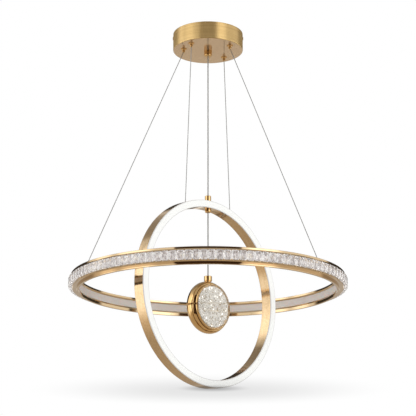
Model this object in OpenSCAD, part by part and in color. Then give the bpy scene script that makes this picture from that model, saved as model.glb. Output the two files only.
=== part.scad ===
// Ring pendant light. A crystal ring, an upright lit hoop and a crystal disc hang from one round canopy.
// Sizes are in millimetres and +Z is up. The origin is the centre of the canopy's top, on the ceiling.
// The light hangs down from there, so heights below the ceiling are negative.

/* [Canopy] */
// Outer diameter of the canopy
canopy_d = 157; // [150:1:220]
// Height of the canopy
canopy_h = 40; // [38:1:60]
// Wall of the pressed canopy cover
canopy_wall = 1.5; // [1:0.1:2]
// Rounding of the canopy's lower edge
canopy_edge_r = 1.8; // [0.5:0.1:2.2]

/* [Ceiling plate] */
// Edge of the plate beyond the LED driver's ears
plate_margin = 3; // [2:0.5:5]
// Width of the plate
plate_w = 88; // [80:1:96]
// Thickness of the plate and its bent tabs
plate_t = 2; // [1.5:0.1:3]
// Width of the two tabs that hold the cover
tab_w = 16; // [12:1:20]
// Length of the tabs below the ceiling
tab_drop = 15; // [13:1:18]
// Distance between the centres of the two ceiling slots
slot_spacing = 80; // [70:1:84]
// Width of a ceiling slot
slot_w = 5; // [4:0.5:6]
// Length of a ceiling slot from end to end
slot_l = 14; // [10:1:18]
// Diameter of the hole for the supply cable
supply_d = 16; // [12:1:17]

/* [Inside the canopy] */
// Length of the LED driver's case
driver_l = 84; // [70:1:88]
// Width of the LED driver's case
driver_w = 38; // [30:1:40]
// Height of the LED driver's case
driver_h = 20; // [15:1:21]
// Length of the three pole terminal block
terminal_l = 30; // [26:1:34]
// Width of the terminal block
terminal_w = 16; // [14:1:18]
// Height of the terminal block
terminal_h = 13; // [10:1:15]

/* [Wire grippers] */
// Diameter of a gripper's flange under the canopy
grip_flange_d = 14; // [12:0.5:16]
// Thickness of the flange at its rim
grip_flange_t = 1.5; // [1:0.1:2]
// Diameter of a gripper's threaded shank
grip_shank_d = 10; // [9.5:0.1:11]
// Height of the shank above the canopy's underside
grip_shank_h = 14; // [13:0.5:15]
// Diameter of the release nose
nose_d = 6; // [5.5:0.1:6.5]
// How far the nose reaches below the canopy's underside
nose_drop = 8.4; // [7:0.1:10]
// Travel of the release nose
nose_travel = 1.5; // [1:0.1:2]
// Distance of the left ring wire's gripper from the canopy's centre
grip_ring_left_r = 56; // [52:1:62]
// Bearing of the left ring wire's gripper
grip_ring_left_az = 193; // [185:1:200]
// Distance of the right ring wire's gripper from the canopy's centre
grip_ring_right_r = 59; // [52:1:62]
// Bearing of the right ring wire's gripper
grip_ring_right_az = 326; // [320:1:335]
// Distance of the rear ring wire's gripper from the canopy's centre
grip_ring_rear_r = 24; // [22:1:40]
// Bearing of the rear ring wire's gripper
grip_ring_rear_az = 90; // [85:1:95]
// Distance of the left hoop wire's gripper from the canopy's centre
grip_hoop_left_r = 60; // [52:1:62]
// Bearing of the left hoop wire's gripper
grip_hoop_left_az = 232; // [225:1:238]
// Distance of the right hoop wire's gripper from the canopy's centre
grip_hoop_right_r = 53.5; // [50:0.5:62]
// Bearing of the right hoop wire's gripper
grip_hoop_right_az = 47; // [42:1:55]

/* [Gland and cable] */
// Diameter of the cable gland
gland_d = 18; // [16:0.5:20]
// How far the gland reaches below the canopy's underside
gland_drop = 13.5; // [11:0.5:18]
// Diameter of the gland's threaded shank
gland_shank_d = 10; // [8:0.5:12]
// Diameter of the round cable that holds the disc
cable_d = 3; // [2:0.1:4]
// Diameter of the steel suspension wires
wire_d = 1.8; // [1:0.1:2]

/* [Crystal ring] */
// Outer diameter of the ring over its crystals
ring_d = 600; // [560:5:900]
// Width of the ring's section, from its inner edge to the crystals' faces
ring_section_w = 23; // [22.5:0.5:60]
// Height of the ring's frame
ring_h = 33; // [30:0.5:43]
// Distance from the ceiling to the top of the ring
ring_drop = 562.3; // [350:0.1:1500]
// Thickness of the ring's upper rail
ring_rail_top = 6.6; // [5.5:0.1:7]
// Height of the ring's lower rail with the lip under it
ring_rail_bottom = 6.2; // [5:0.1:8]
// Thickness of the tray under the crystals
ring_tray_t = 2; // [1.2:0.1:3]
// How far the tray's edge stands back from the upper rail's
ring_tray_back = 3; // [1:0.5:4]
// Width of the lip that hangs along the ring's inner edge
ring_lip_w = 5; // [3:0.1:6]
// Height of the upright rim on the upper rail
ring_rim_h = 4.1; // [3:0.1:4.6]
// How much higher the inner groove ends than the crystals' groove
inner_groove_rise = 3.8; // [2:0.1:5]
// Thickness of the web between the two rails
ring_web_t = 2; // [1.2:0.1:3]
// How far the crystals stand proud of the rails
crystal_proud = 5; // [3:0.5:6]
// Number of crystals round the ring
crystal_count = 120; // [90:2:130]
// Gap between neighbouring crystals
crystal_gap = 0.5; // [0.4:0.1:1]
// Depth of the sloping facets on a crystal's face
crystal_crown = 3.6; // [2:0.1:5]
// Bearing of the left wire's anchor on the ring
anchor_left_az = 208.3; // [200:0.1:215]
// Bearing of the right wire's anchor on the ring
anchor_right_az = 322.2; // [315:0.1:335]
// Bearing of the rear wire's anchor on the ring
anchor_rear_az = 90; // [85:1:95]
// Diameter of a wire anchor's head on the ring
anchor_d = 7; // [6.5:0.1:9]
// Height of a wire anchor's head
anchor_h = 3.5; // [3:0.1:4.5]

/* [Hoop] */
// Outer diameter of the hoop
hoop_d = 407; // [340:1:450]
// Width of the hoop's section across its face
hoop_face_w = 16.1; // [15:0.1:20]
// Depth of the hoop from front to back
hoop_depth = 27.6; // [24:0.2:34]
// Wall of the hoop's channel
hoop_wall = 1.5; // [1:0.1:2]
// Distance from the ceiling to the top of the hoop
hoop_drop = 393.5; // [300:5:1200]
// Turn of the hoop's plane about the vertical
hoop_yaw = 45.6; // [30:0.1:60]
// Angle from the hoop's top to each of its two wires
hoop_wire_angle = 20; // [12:1:30]
// Thickness of the hoop's diffuser at its face
hoop_diffuser_t = 1.8; // [1.2:0.1:3]
// Diameter of the collars above and below the hoop's top
collar_d = 13.4; // [12:0.1:16]
// Height of the upper collar
collar_upper_h = 14; // [10:0.5:20]
// Height of the lower collar
collar_lower_h = 7.4; // [6:0.2:12]
// Diameter of the threaded tube through the hoop
collar_tube_d = 8; // [6:0.5:9]

/* [Crystal disc] */
// Distance from the hoop's inner top to the top of the ferrule
disc_cable = 149.6; // [100:0.2:190]
// Diameter of the ferrule that holds the cable
ferrule_d = 17; // [16:0.5:20]
// Height of the ferrule
ferrule_h = 11.3; // [11:0.1:14]
// Diameter of the swivel stud
stud_d = 8; // [6:0.5:8.5]
// Outer diameter of the disc's shell
disc_d = 113; // [104:1:130]
// Half the depth of the shell where it is roundest
shell_half_depth = 16.5; // [15.5:0.1:20]
// How far the shell bulges out from its flat back
shell_bulge = 14; // [13:0.5:16]
// Wall of the disc's shell
shell_wall = 2; // [1.2:0.1:2.5]
// Diameter of the crystal face inside the bezel
face_d = 91.8; // [84:0.2:92.4]
// Height of the crystal face's dome
face_dome = 3.4; // [1:0.2:6]
// Turn of the disc's face about the vertical
disc_yaw = 44.8; // [0:0.1:90]

/* [Fits] */
// Clearance round a part that slides or turns in another
run_gap = 0.05; // [0.03:0.01:0.1]
// Clearance round a fixed screw, nut or shank
screw_gap = 0.05; // [0.03:0.01:0.15]
// Clearance round a shank in a plain hole
pass_gap = 0.2; // [0.1:0.05:0.3]
// Clearance between a piece and the seat it rests in
seat_gap = 0.3; // [0.1:0.05:0.4]

/* [Hidden] */

FINE = 120;
ROUND = 48;
SMALL = 24;
EPS = 0.01;

GOLD = "#c9a368";
POLISHED = "#d8ae6a";
STEEL = "#b9bcc0";
WHITE = "#f4f4f2";
CRYSTAL = "#dfe3e6";

canopy_r = canopy_d / 2;
canopy_inner_r = canopy_r - canopy_wall;
canopy_rim_r = min(canopy_edge_r, canopy_wall - 0.3);
under_z = -canopy_h;
floor_z = under_z + canopy_wall;

// A tab's corners lie just inside the round wall of the cover.
tab_face_x = sqrt(pow(canopy_inner_r - seat_gap, 2) - pow(tab_w / 2, 2));
plate_corner_r = 8;
cover_screw_d = 4;
cover_screw_up = 5;
cover_screw_z = -tab_drop + cover_screw_up;
cover_screw_head_d = 7.5;
cover_screw_head_t = 1;
cover_screw_l = 9;
supply_y = -supply_d / 2 - 2;

m3 = 3;
m3_head_d = 5.5;
m3_head_t = 2;
driver_y = driver_w / 2 + 8;
driver_corner_r = 3;
driver_ear_l = 7;
plate_l = driver_l + 2 * (driver_ear_l + plate_margin);
driver_ear_w = 16;
driver_ear_t = 3;
driver_screw_x = driver_l / 2 + driver_ear_l / 2;
driver_grommet_d = 7;
driver_grommet_l = 4;
driver_grommet_root = 1;
driver_grommet_down = 2;
driver_seam_inset = 3;
driver_seam_w = 1;
driver_seam_h = 0.6;
terminal_y = -plate_w / 2 + terminal_w / 2 + 2;
terminal_poles = 3;
terminal_pitch = terminal_l / terminal_poles;
terminal_bore_d = 3.6;
terminal_screw_d = 3;
terminal_screw_y = terminal_w / 4;
terminal_slit_h = 2;
earth_x = -36;
earth_y = -26;
earth_head_d = 7;

grip_cone_h = 1.5;
grip_ledge_z = under_z + 2;
nose_head_d = nose_d + 1.6;
nose_head_t = 4;
nose_head_top_z = grip_ledge_z + nose_head_t;
grip_taper_h = 3;
nose_taper_up = 0.2;
nose_r = nose_d / 2;
nose_head_r = nose_head_d / 2;
spring_closed_h = 4.5;
grip_chamber_top_z = nose_head_top_z + nose_travel + spring_closed_h;
nose_tip_z = under_z - nose_drop;
nose_tip_round = 0.7;
nut_h = 4;
grip_nut_af = grip_shank_d + 4;
gland_nut_af = gland_shank_d + 4;
spring_t = 0.8;

wire_r = wire_d / 2;
wire_bore_r = wire_r + 0.25;
wire_tail_up = 2.5;
flare_h = 2.2;
flare_r = wire_r + 1.1;
wire_start_z = nose_tip_z + flare_h - 0.4;
wire_tail_z = wire_start_z + 0.6 * wire_r;

// A ball touches the wire inside it and the gripper's taper outside it, so it finds its own height.
ball_count = 3;
ball_gap = 0.05;
ball_reach = 0.3;
ball_r = (nose_r + ball_reach - wire_r - ball_gap) / 2;
ball_centre_r = wire_r + ball_gap + ball_r;
grip_taper = atan((nose_head_r - nose_r) / grip_taper_h);
ball_rise = (ball_r + ball_gap) / cos(grip_taper) + ball_centre_r - nose_r - run_gap;
ball_z = grip_ledge_z + ball_rise / tan(grip_taper);

gland_round_r = 3;
gland_groove_z = under_z - 0.45 * gland_drop;
gland_groove_w = 0.8;
gland_groove_depth = 0.7;
gland_shank_h = 9;
cable_r = cable_d / 2;
cable_bore_r = cable_r + 0.1;
grub_gap = 0.15;
cable_tail_up = 5;
cable_top_z = under_z + gland_shank_h + cable_tail_up;
gland_grub_z = under_z - 0.62 * gland_drop;

ring_r = ring_d / 2;
rail_r = ring_r - crystal_proud;
ring_inner_r = ring_r - ring_section_w;
ring_top_z = -ring_drop;
ring_bottom_z = ring_top_z - ring_h;
groove_top_z = ring_top_z - ring_rail_top;
groove_bottom_z = ring_bottom_z + ring_rail_bottom;
groove_mid_z = (groove_top_z + groove_bottom_z) / 2;
web_r = (rail_r + ring_inner_r) / 2;
tray_r = rail_r - ring_tray_back;
tray_bottom_z = groove_bottom_z - ring_tray_t;
lip_r = ring_inner_r + ring_lip_w;
rim_bottom_z = ring_top_z - ring_rim_h;
inner_groove_bottom_z = groove_bottom_z + inner_groove_rise;
inner_mid_z = (groove_top_z + inner_groove_bottom_z) / 2;
lip_top_z = inner_groove_bottom_z - 0.92 * inner_groove_rise;
rail_edge = 0.5;
tray_edge = 0.8 * ring_tray_t;
bevel_w = 1.6;
led_t = 0.8;
led_w = 10;
led_seat = 0.1;
ring_diffuser_t = 2.4;
ring_diffuser_recess = 2.4;
crystal_fit = 0.2;
crystal_h = groove_top_z - groove_bottom_z - 2 * crystal_fit;
crystal_back_r = web_r + ring_web_t / 2 + led_t + led_seat + seat_gap;
crystal_girdle_r = ring_r - crystal_crown;
crystal_half_angle = 180 / crystal_count;
crystal_corner = 2.4;
anchor_r = ring_inner_r + 6;
anchor_edge = 0.5;
anchor_mouth_r = anchor_d / 2 - anchor_edge - 0.3;
anchor_bore_r = wire_r + 0.5;
anchor_stem_d = 4;
anchor_stem_l = 4.5;
anchor_bore_depth = 0.8;
wire_end_z = ring_top_z + anchor_h - flare_h + 0.2;

hoop_r = hoop_d / 2;
hoop_inner_r = hoop_r - hoop_face_w;
hoop_mid_r = (hoop_r + hoop_inner_r) / 2;
hoop_z = -hoop_drop - hoop_r;
hoop_front_w = hoop_depth / 2;
hoop_back_w = -hoop_depth / 2;
hoop_lip_w = hoop_front_w - hoop_diffuser_t;
hoop_edge_r = min(1.2, hoop_wall - 0.2);
hoop_leg_t = 1.4;
hoop_leg_l = 5;
hoop_led_w = 9;
hoop_stop_d = 4.6;
hoop_stop_l = 5;
hoop_stop_top = 1.4;
hoop_wire_hole_r = wire_r + 0.45;
hoop_top_z = -hoop_drop;
hoop_inner_top_z = hoop_top_z - hoop_face_w;

// The lower collar sits under a hollow curve, so its top edge is let down by the curve's rise across it.
collar_upper_top_z = hoop_top_z + collar_upper_h;
collar_sag = hoop_inner_r - sqrt(pow(hoop_inner_r, 2) - pow(collar_d / 2, 2));
collar_seat_gap = 0.1;
collar_lower_top_z = hoop_inner_top_z - collar_sag - collar_seat_gap;
collar_lower_bottom_z = collar_lower_top_z - collar_lower_h;
collar_round_r = 2.4;
collar_tube_up = 5;
collar_tube_down = 3.5;
collar_tube_top_z = hoop_top_z + collar_tube_up;
collar_tube_bottom_z = collar_lower_top_z - collar_tube_down;
collar_grub_z = (collar_upper_top_z + collar_tube_top_z + seat_gap) / 2;
cable_join_z = (hoop_top_z + hoop_inner_top_z) / 2;

ferrule_top_z = hoop_inner_top_z - disc_cable;
ferrule_bottom_z = ferrule_top_z - ferrule_h;
ferrule_cap_t = 3.6;
ferrule_web_t = 3;
ferrule_wall = 2.2;
ferrule_chamber_top_z = ferrule_top_z - ferrule_cap_t;
ferrule_web_z = ferrule_bottom_z + ferrule_web_t;
cable_end_z = ferrule_chamber_top_z - 0.6;
stud_head_d = stud_d + 3;
stud_head_t = 2;
stud_play = 0.1;
stud_bore_d = 4;

disc_r = disc_d / 2;
disc_boss_h = 0.7;
disc_boss_d = stud_d + 4;
disc_boss_root = 8;
stud_foot_depth = 11;
disc_z = ferrule_bottom_z - seat_gap - disc_boss_h - disc_r;
shell_core_r = disc_r - shell_bulge;
shell_front_w = 0.76 * shell_half_depth;
shell_back_dome = 2.4;
shell_post_r = 0.7 * shell_core_r;
shell_post_d = 6;
shell_post_turn = -30;
face_r = face_d / 2;
bezel_groove_w = 1.2;
bezel_base_w = shell_front_w + bezel_groove_w;
bezel_skirt_r = face_r + 2.4;
bezel_outer_r = face_r + 4.8;
bezel_top_w = bezel_base_w + 4.5;
bezel_edge = 0.3;
face_seat_w = shell_front_w - 2;
face_edge_w = bezel_top_w - bezel_edge;
opal_t = 2;
skirt_bottom_w = face_seat_w - opal_t - 1.4;
skirt_inner_r = face_r - 2.4;
board_w = 3;
board_t = 1.6;
board_r = shell_core_r - 2;
board_screw_d = 2.5;
board_screw_head_d = 4.5;
board_screw_head_t = 1.4;
board_screw_l = 6;
board_led_count = 12;
board_led_size = 3;
board_led_t = 0.8;

function polar(r, az, z) = [r * cos(az), r * sin(az), z];
function arc(cx, cy, rx, ry, a0, a1, n) =
    [for (i = [0:n]) let (a = a0 + (a1 - a0) * i / n) [cx + rx * cos(a), cy + ry * sin(a)]];

// Each suspension wire: its gripper under the canopy and the place where it ends.
ring_left_grip = polar(grip_ring_left_r, grip_ring_left_az, 0);
ring_right_grip = polar(grip_ring_right_r, grip_ring_right_az, 0);
ring_rear_grip = polar(grip_ring_rear_r, grip_ring_rear_az, 0);
hoop_left_grip = polar(grip_hoop_left_r, grip_hoop_left_az, 0);
hoop_right_grip = polar(grip_hoop_right_r, grip_hoop_right_az, 0);
GRIPS = [ring_left_grip, ring_right_grip, ring_rear_grip, hoop_left_grip, hoop_right_grip];
ANCHOR_AZ = [anchor_left_az, anchor_right_az, anchor_rear_az];

function wire_start(grip) = [grip.x, grip.y, wire_start_z];
function ring_wire_end(az) = polar(anchor_r, az, wire_end_z);
function hoop_wire_pass(side) = [
    side * hoop_r * sin(hoop_wire_angle) * cos(hoop_yaw),
    side * hoop_r * sin(hoop_wire_angle) * sin(hoop_yaw),
    hoop_z + hoop_r * cos(hoop_wire_angle)
];
// The wire runs on through the hoop's wall, along its own line, to the end of its stop.
hoop_wire_inside = hoop_wall / cos(hoop_wire_angle) + hoop_stop_top + hoop_stop_l;
function hoop_wire_end(grip, side) =
    let (p = wire_start(grip), q = hoop_wire_pass(side), d = (q - p) / norm(q - p)) q + d * hoop_wire_inside;

// Draws its children along +Z from p towards q.
module along(p, q) {
    v = q - p;
    translate(p) rotate([0, acos(v.z / norm(v)), atan2(v.y, v.x)]) children();
}

module ring_at(z, r_out, r_in, h) {
    translate([0, 0, z]) difference() {
        cylinder(r = r_out, h = h, $fn = ROUND);
        translate([0, 0, -1]) cylinder(r = r_in, h = h + 2, $fn = ROUND);
    }
}

module hex_nut(z, across_flats, bore_r) {
    translate([0, 0, z]) difference() {
        cylinder(r = across_flats / 2 / cos(30), h = nut_h, $fn = 6);
        translate([0, 0, -1]) cylinder(r = bore_r, h = nut_h + 2, $fn = ROUND);
    }
}

module rounded_rect(l, w, r) {
    square([l - 2 * r, w], center = true);
    square([l, w - 2 * r], center = true);
    for (x = [-1, 1], y = [-1, 1]) translate([x * (l / 2 - r), y * (w / 2 - r)]) circle(r = r, $fn = SMALL);
}

// A screw that points up, with its head's underside at z = 0.
module screw_up(d, l, head_d, head_t) {
    cylinder(d = d, h = l, $fn = SMALL);
    difference() {
        translate([0, 0, -head_t]) cylinder(d = head_d, h = head_t, $fn = SMALL);
        for (a = [0, 90]) rotate([0, 0, a])
            translate([-head_d / 3, -0.35, -head_t - EPS]) cube([2 * head_d / 3, 0.7, head_t / 2]);
    }
}

// The pressed cover: a round cup that opens upwards against the ceiling.
module canopy_cover() {
    profile = concat(
        [[canopy_inner_r, 0]],
        arc(canopy_r - canopy_rim_r, -canopy_rim_r, canopy_rim_r, canopy_rim_r, 90, 0, 5),
        arc(canopy_r - canopy_edge_r, under_z + canopy_edge_r, canopy_edge_r, canopy_edge_r, 0, -90, 6),
        [[0, under_z], [0, floor_z], [canopy_inner_r, floor_z]]
    );
    color(GOLD) difference() {
        rotate_extrude($fn = FINE) polygon(profile);
        for (g = GRIPS) translate([g.x, g.y, under_z - 1])
            cylinder(r = grip_shank_d / 2 + pass_gap, h = canopy_wall + 2, $fn = ROUND);
        translate([0, 0, under_z - 1])
            cylinder(r = gland_shank_d / 2 + pass_gap, h = canopy_wall + 2, $fn = ROUND);
        for (a = [0, 180]) rotate([0, 0, a]) translate([canopy_inner_r - 1, 0, cover_screw_z])
            rotate([0, 90, 0]) cylinder(r = cover_screw_d / 2 + pass_gap, h = canopy_wall + 2, $fn = SMALL);
    }
}

module slot(l, w) {
    square([l - w, w], center = true);
    for (s = [-1, 1]) translate([s * (l - w) / 2, 0]) circle(d = w, $fn = SMALL);
}

// The steel plate that is screwed to the ceiling, with a bent tab at each end for the cover's screws.
module mounting_plate() {
    color(STEEL) difference() {
        union() {
            translate([0, 0, -plate_t]) linear_extrude(plate_t) {
                rounded_rect(plate_l, plate_w, plate_corner_r);
                square([2 * tab_face_x, tab_w], center = true);
            }
            for (a = [0, 180]) rotate([0, 0, a])
                translate([tab_face_x - plate_t, -tab_w / 2, -tab_drop]) cube([plate_t, tab_w, tab_drop]);
        }
        for (s = [-1, 1]) translate([s * slot_spacing / 2, 0, -plate_t - 1])
            linear_extrude(plate_t + 2) slot(slot_l, slot_w);
        translate([0, supply_y, -plate_t - 1]) cylinder(d = supply_d, h = plate_t + 2, $fn = ROUND);
        for (a = [0, 180]) rotate([0, 0, a]) translate([tab_face_x - plate_t - 1, 0, cover_screw_z])
            rotate([0, 90, 0]) cylinder(r = cover_screw_d / 2 + screw_gap, h = plate_t + 2, $fn = SMALL);
        for (s = [-1, 1]) translate([s * driver_screw_x, driver_y, -plate_t - 1])
            cylinder(r = m3 / 2 + screw_gap, h = plate_t + 2, $fn = SMALL);
        translate([earth_x, earth_y, -plate_t - 1])
            cylinder(r = m3 / 2 + screw_gap, h = plate_t + 2, $fn = SMALL);
    }
}

// Two low round-headed screws through the cover's side into the plate's tabs.
module cover_screws() {
    color(GOLD) for (a = [0, 180]) rotate([0, 0, a])
        translate([canopy_r, 0, cover_screw_z]) rotate([0, -90, 0])
            screw_up(cover_screw_d, cover_screw_l, cover_screw_head_d, cover_screw_head_t);
}

module led_driver() {
    color(WHITE) translate([0, driver_y, -plate_t]) difference() {
        union() {
            translate([0, 0, -driver_h])
                linear_extrude(driver_h) rounded_rect(driver_l, driver_w, driver_corner_r);
            translate([0, 0, -driver_ear_t])
                linear_extrude(driver_ear_t) square([driver_l + 2 * driver_ear_l, driver_ear_w], center = true);
            for (a = [0, 180]) rotate([0, 0, a])
                translate([driver_l / 2 - driver_grommet_root, 0, -driver_h / 2 - driver_grommet_down])
                    rotate([0, 90, 0]) cylinder(d = driver_grommet_d, h = driver_grommet_l, $fn = SMALL);
        }
        for (s = [-1, 1]) translate([s * driver_screw_x, 0, -driver_ear_t - 1])
            cylinder(r = m3 / 2 + pass_gap, h = driver_ear_t + 2, $fn = SMALL);
        seam_l = driver_l - 2 * driver_seam_inset;
        seam_w = driver_w - 2 * driver_seam_inset;
        translate([0, 0, -driver_h - EPS]) linear_extrude(driver_seam_h) difference() {
            rounded_rect(seam_l, seam_w, driver_corner_r);
            rounded_rect(seam_l - 2 * driver_seam_w, seam_w - 2 * driver_seam_w, driver_corner_r);
        }
    }
}

module driver_screws() {
    color(STEEL) for (s = [-1, 1]) translate([s * driver_screw_x, driver_y, -plate_t - driver_ear_t])
        screw_up(m3, driver_ear_t + plate_t - 0.5, m3_head_d, m3_head_t);
}

function pole_x(i) = (i - (terminal_poles - 1) / 2) * terminal_pitch;

// A three pole block with a through way for the wires of each pole and two clamp screws over it.
module terminal_block() {
    color(WHITE) translate([0, terminal_y, -plate_t - terminal_h]) difference() {
        translate([-terminal_l / 2, -terminal_w / 2, 0]) cube([terminal_l, terminal_w, terminal_h]);
        for (i = [0:terminal_poles - 1]) translate([pole_x(i), 0, 0]) {
            translate([0, terminal_w / 2 + 1, terminal_h / 2 + 1]) rotate([90, 0, 0])
                cylinder(d = terminal_bore_d, h = terminal_w + 2, $fn = SMALL);
            for (s = [-1, 1]) translate([0, s * terminal_screw_y, -1])
                cylinder(r = terminal_screw_d / 2 + screw_gap, h = terminal_h / 2 + 1, $fn = SMALL);
        }
        for (i = [0:terminal_poles - 2])
            translate([pole_x(i) + terminal_pitch / 2 - 0.6, -terminal_w / 2 - 1, -EPS])
                cube([1.2, terminal_w + 2, terminal_slit_h]);
    }
}

module terminal_screws() {
    color(STEEL) for (i = [0:terminal_poles - 1], s = [-1, 1])
        translate([pole_x(i), terminal_y + s * terminal_screw_y, -plate_t - terminal_h + 0.6]) difference() {
            cylinder(d = terminal_screw_d, h = 4.2, $fn = SMALL);
            translate([-terminal_screw_d, -0.3, -EPS]) cube([2 * terminal_screw_d, 0.6, 0.8]);
        }
}

module earth_screw() {
    color(POLISHED) translate([earth_x, earth_y, -plate_t])
        screw_up(m3, plate_t - 0.3, earth_head_d, m3_head_t);
}

// The gland in the middle of the canopy, with a rounded nose and one groove, on a threaded shank.
module cable_gland() {
    r = gland_d / 2;
    tip_z = under_z - gland_drop;
    profile = concat(
        [[cable_bore_r, under_z + gland_shank_h], [gland_shank_d / 2, under_z + gland_shank_h],
         [gland_shank_d / 2, under_z], [r, under_z]],
        [[r, gland_groove_z + gland_groove_w], [r - gland_groove_depth, gland_groove_z + gland_groove_w / 2],
         [r - gland_groove_depth, gland_groove_z - gland_groove_w / 2], [r, gland_groove_z - gland_groove_w]],
        arc(r - gland_round_r, tip_z + gland_round_r, gland_round_r, gland_round_r, 0, -90, 8),
        [[cable_bore_r + 0.8, tip_z], [cable_bore_r, tip_z + 0.8]]
    );
    color(POLISHED) difference() {
        rotate_extrude($fn = ROUND) polygon(profile);
        translate([0, 0, gland_grub_z]) rotate([-90, 0, 0])
            cylinder(r = m3 / 2 + screw_gap, h = r + 1, $fn = SMALL);
    }
}

module gland_nut() {
    color(STEEL) hex_nut(floor_z, gland_nut_af, gland_shank_d / 2 + screw_gap);
}

// A headless screw with a hexagon socket, pointing along +Y, that pinches the cable.
module grub(from_y, to_y, z) {
    translate([0, from_y, z]) rotate([-90, 0, 0]) difference() {
        cylinder(d = m3, h = to_y - from_y, $fn = SMALL);
        translate([0, 0, to_y - from_y - 1.6]) cylinder(d = 1.7, h = 2, $fn = 6);
    }
}

module gland_grub_screw() {
    color(STEEL) grub(cable_r + grub_gap, gland_d / 2 - 1, gland_grub_z);
}

// A gripper's body: flange and cone under the canopy, threaded shank above, and a tapered bore for the nose.
module gripper_body() {
    flange_r = grip_flange_d / 2;
    flange_z = under_z - grip_flange_t;
    cone_z = flange_z - grip_cone_h;
    rotate_extrude($fn = ROUND) polygon([
        [wire_bore_r, under_z + grip_shank_h], [grip_shank_d / 2, under_z + grip_shank_h],
        [grip_shank_d / 2, under_z], [flange_r, under_z], [flange_r, under_z - grip_flange_t * 0.7],
        [flange_r - 0.8, flange_z], [nose_r + 1.6, flange_z - 0.3], [nose_r + 1, cone_z],
        [nose_r + run_gap, cone_z], [nose_r + run_gap, grip_ledge_z],
        [nose_head_r + run_gap, grip_ledge_z + grip_taper_h],
        [nose_head_r + run_gap, grip_chamber_top_z], [wire_bore_r, grip_chamber_top_z]
    ]);
}

module gripper_bodies() {
    color(POLISHED) for (g = GRIPS) translate(g) gripper_body();
}

module gripper_nuts() {
    color(STEEL) for (g = GRIPS) translate(g) hex_nut(floor_z, grip_nut_af, grip_shank_d / 2 + screw_gap);
}

// Places its children at each of the balls of one gripper.
module at_balls(grip) {
    translate([grip.x, grip.y, ball_z])
        for (k = [0:ball_count - 1]) rotate([0, 0, 360 / ball_count * k]) children();
}

// The nose is pushed up to let its wire slip. Its head is a crown whose three slots carry the balls.
module release_nose(grip) {
    taper_z = grip_ledge_z + nose_taper_up;
    slot_half_w = ball_r + ball_gap;
    color(POLISHED) difference() {
        translate([grip.x, grip.y, 0]) rotate_extrude($fn = ROUND) polygon([
            [wire_bore_r, nose_head_top_z], [nose_head_r, nose_head_top_z],
            [nose_head_r, taper_z + grip_taper_h], [nose_r, taper_z], [nose_r, nose_tip_z + nose_tip_round],
            [nose_r - nose_tip_round * 0.3, nose_tip_z + nose_tip_round * 0.3],
            [nose_r - nose_tip_round, nose_tip_z], [flare_r, nose_tip_z], [wire_bore_r, nose_tip_z + flare_h]
        ]);
        at_balls(grip) translate([0, -slot_half_w, -slot_half_w])
            cube([nose_head_d, 2 * slot_half_w, nose_head_t + 2 * slot_half_w]);
    }
}

// Three steel balls that the spring wedges between the wire and the gripper's taper.
module gripper_balls(grip) {
    color(STEEL) at_balls(grip) translate([ball_centre_r, 0, 0]) sphere(r = ball_r, $fn = SMALL);
}

module release_ring_left() { release_nose(ring_left_grip); }
module release_ring_right() { release_nose(ring_right_grip); }
module release_ring_rear() { release_nose(ring_rear_grip); }
module release_hoop_left() { release_nose(hoop_left_grip); }
module release_hoop_right() { release_nose(hoop_right_grip); }

module balls_ring_left() { gripper_balls(ring_left_grip); }
module balls_ring_right() { gripper_balls(ring_right_grip); }
module balls_ring_rear() { gripper_balls(ring_rear_grip); }
module balls_hoop_left() { gripper_balls(hoop_left_grip); }
module balls_hoop_right() { gripper_balls(hoop_right_grip); }

// Each wire runs on upright through its gripper, and a short end of it stands in the canopy.
module wire_tails() {
    color(STEEL) for (g = GRIPS) translate([g.x, g.y, wire_tail_z])
        cylinder(r = wire_r, h = under_z + grip_shank_h + wire_tail_up - wire_tail_z, $fn = SMALL);
}

// The space that the return spring fills, between the nose's head and the top of the gripper's bore.
module return_spring(grip) {
    spring_r = nose_head_r - 0.2;
    spring_z = nose_head_top_z + run_gap;
    color(STEEL) translate([grip.x, grip.y, 0])
        ring_at(spring_z, spring_r, spring_r - spring_t, grip_chamber_top_z - run_gap - spring_z);
}

module spring_ring_left() { return_spring(ring_left_grip); }
module spring_ring_right() { return_spring(ring_right_grip); }
module spring_ring_rear() { return_spring(ring_rear_grip); }
module spring_hoop_left() { return_spring(hoop_left_grip); }
module spring_hoop_right() { return_spring(hoop_right_grip); }

// The bent aluminium section: an upper rail, a web and a lower rail, with a groove outside for the crystals
// and one inside. Bevels lead from the rims into the grooves, and a lip hangs along the inner edge.
module ring_frame() {
    web_in = web_r - ring_web_t / 2;
    web_out = web_r + ring_web_t / 2;
    inner_edge_r = ring_inner_r + ring_diffuser_recess;
    profile = [
        [ring_inner_r + rail_edge, ring_top_z], [rail_r - rail_edge, ring_top_z],
        [rail_r, ring_top_z - rail_edge], [rail_r, rim_bottom_z], [rail_r + bevel_w, groove_top_z],
        [web_out, groove_top_z], [web_out, groove_bottom_z], [tray_r, groove_bottom_z],
        [tray_r, tray_bottom_z + tray_edge], [tray_r - tray_edge, tray_bottom_z], [lip_r, tray_bottom_z],
        [lip_r, ring_bottom_z + rail_edge], [lip_r - rail_edge, ring_bottom_z],
        [ring_inner_r + rail_edge, ring_bottom_z], [ring_inner_r, ring_bottom_z + rail_edge],
        [ring_inner_r, lip_top_z], [inner_edge_r, inner_groove_bottom_z],
        [web_in, inner_groove_bottom_z], [web_in, groove_top_z],
        [inner_edge_r, groove_top_z], [ring_inner_r, rim_bottom_z], [ring_inner_r, ring_top_z - rail_edge]
    ];
    color(GOLD) difference() {
        rotate_extrude($fn = FINE) polygon(profile);
        for (az = ANCHOR_AZ) translate(polar(anchor_r, az, ring_top_z - anchor_stem_l - 0.5))
            cylinder(r = anchor_stem_d / 2 + screw_gap, h = anchor_stem_l + 2, $fn = SMALL);
    }
}

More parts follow.
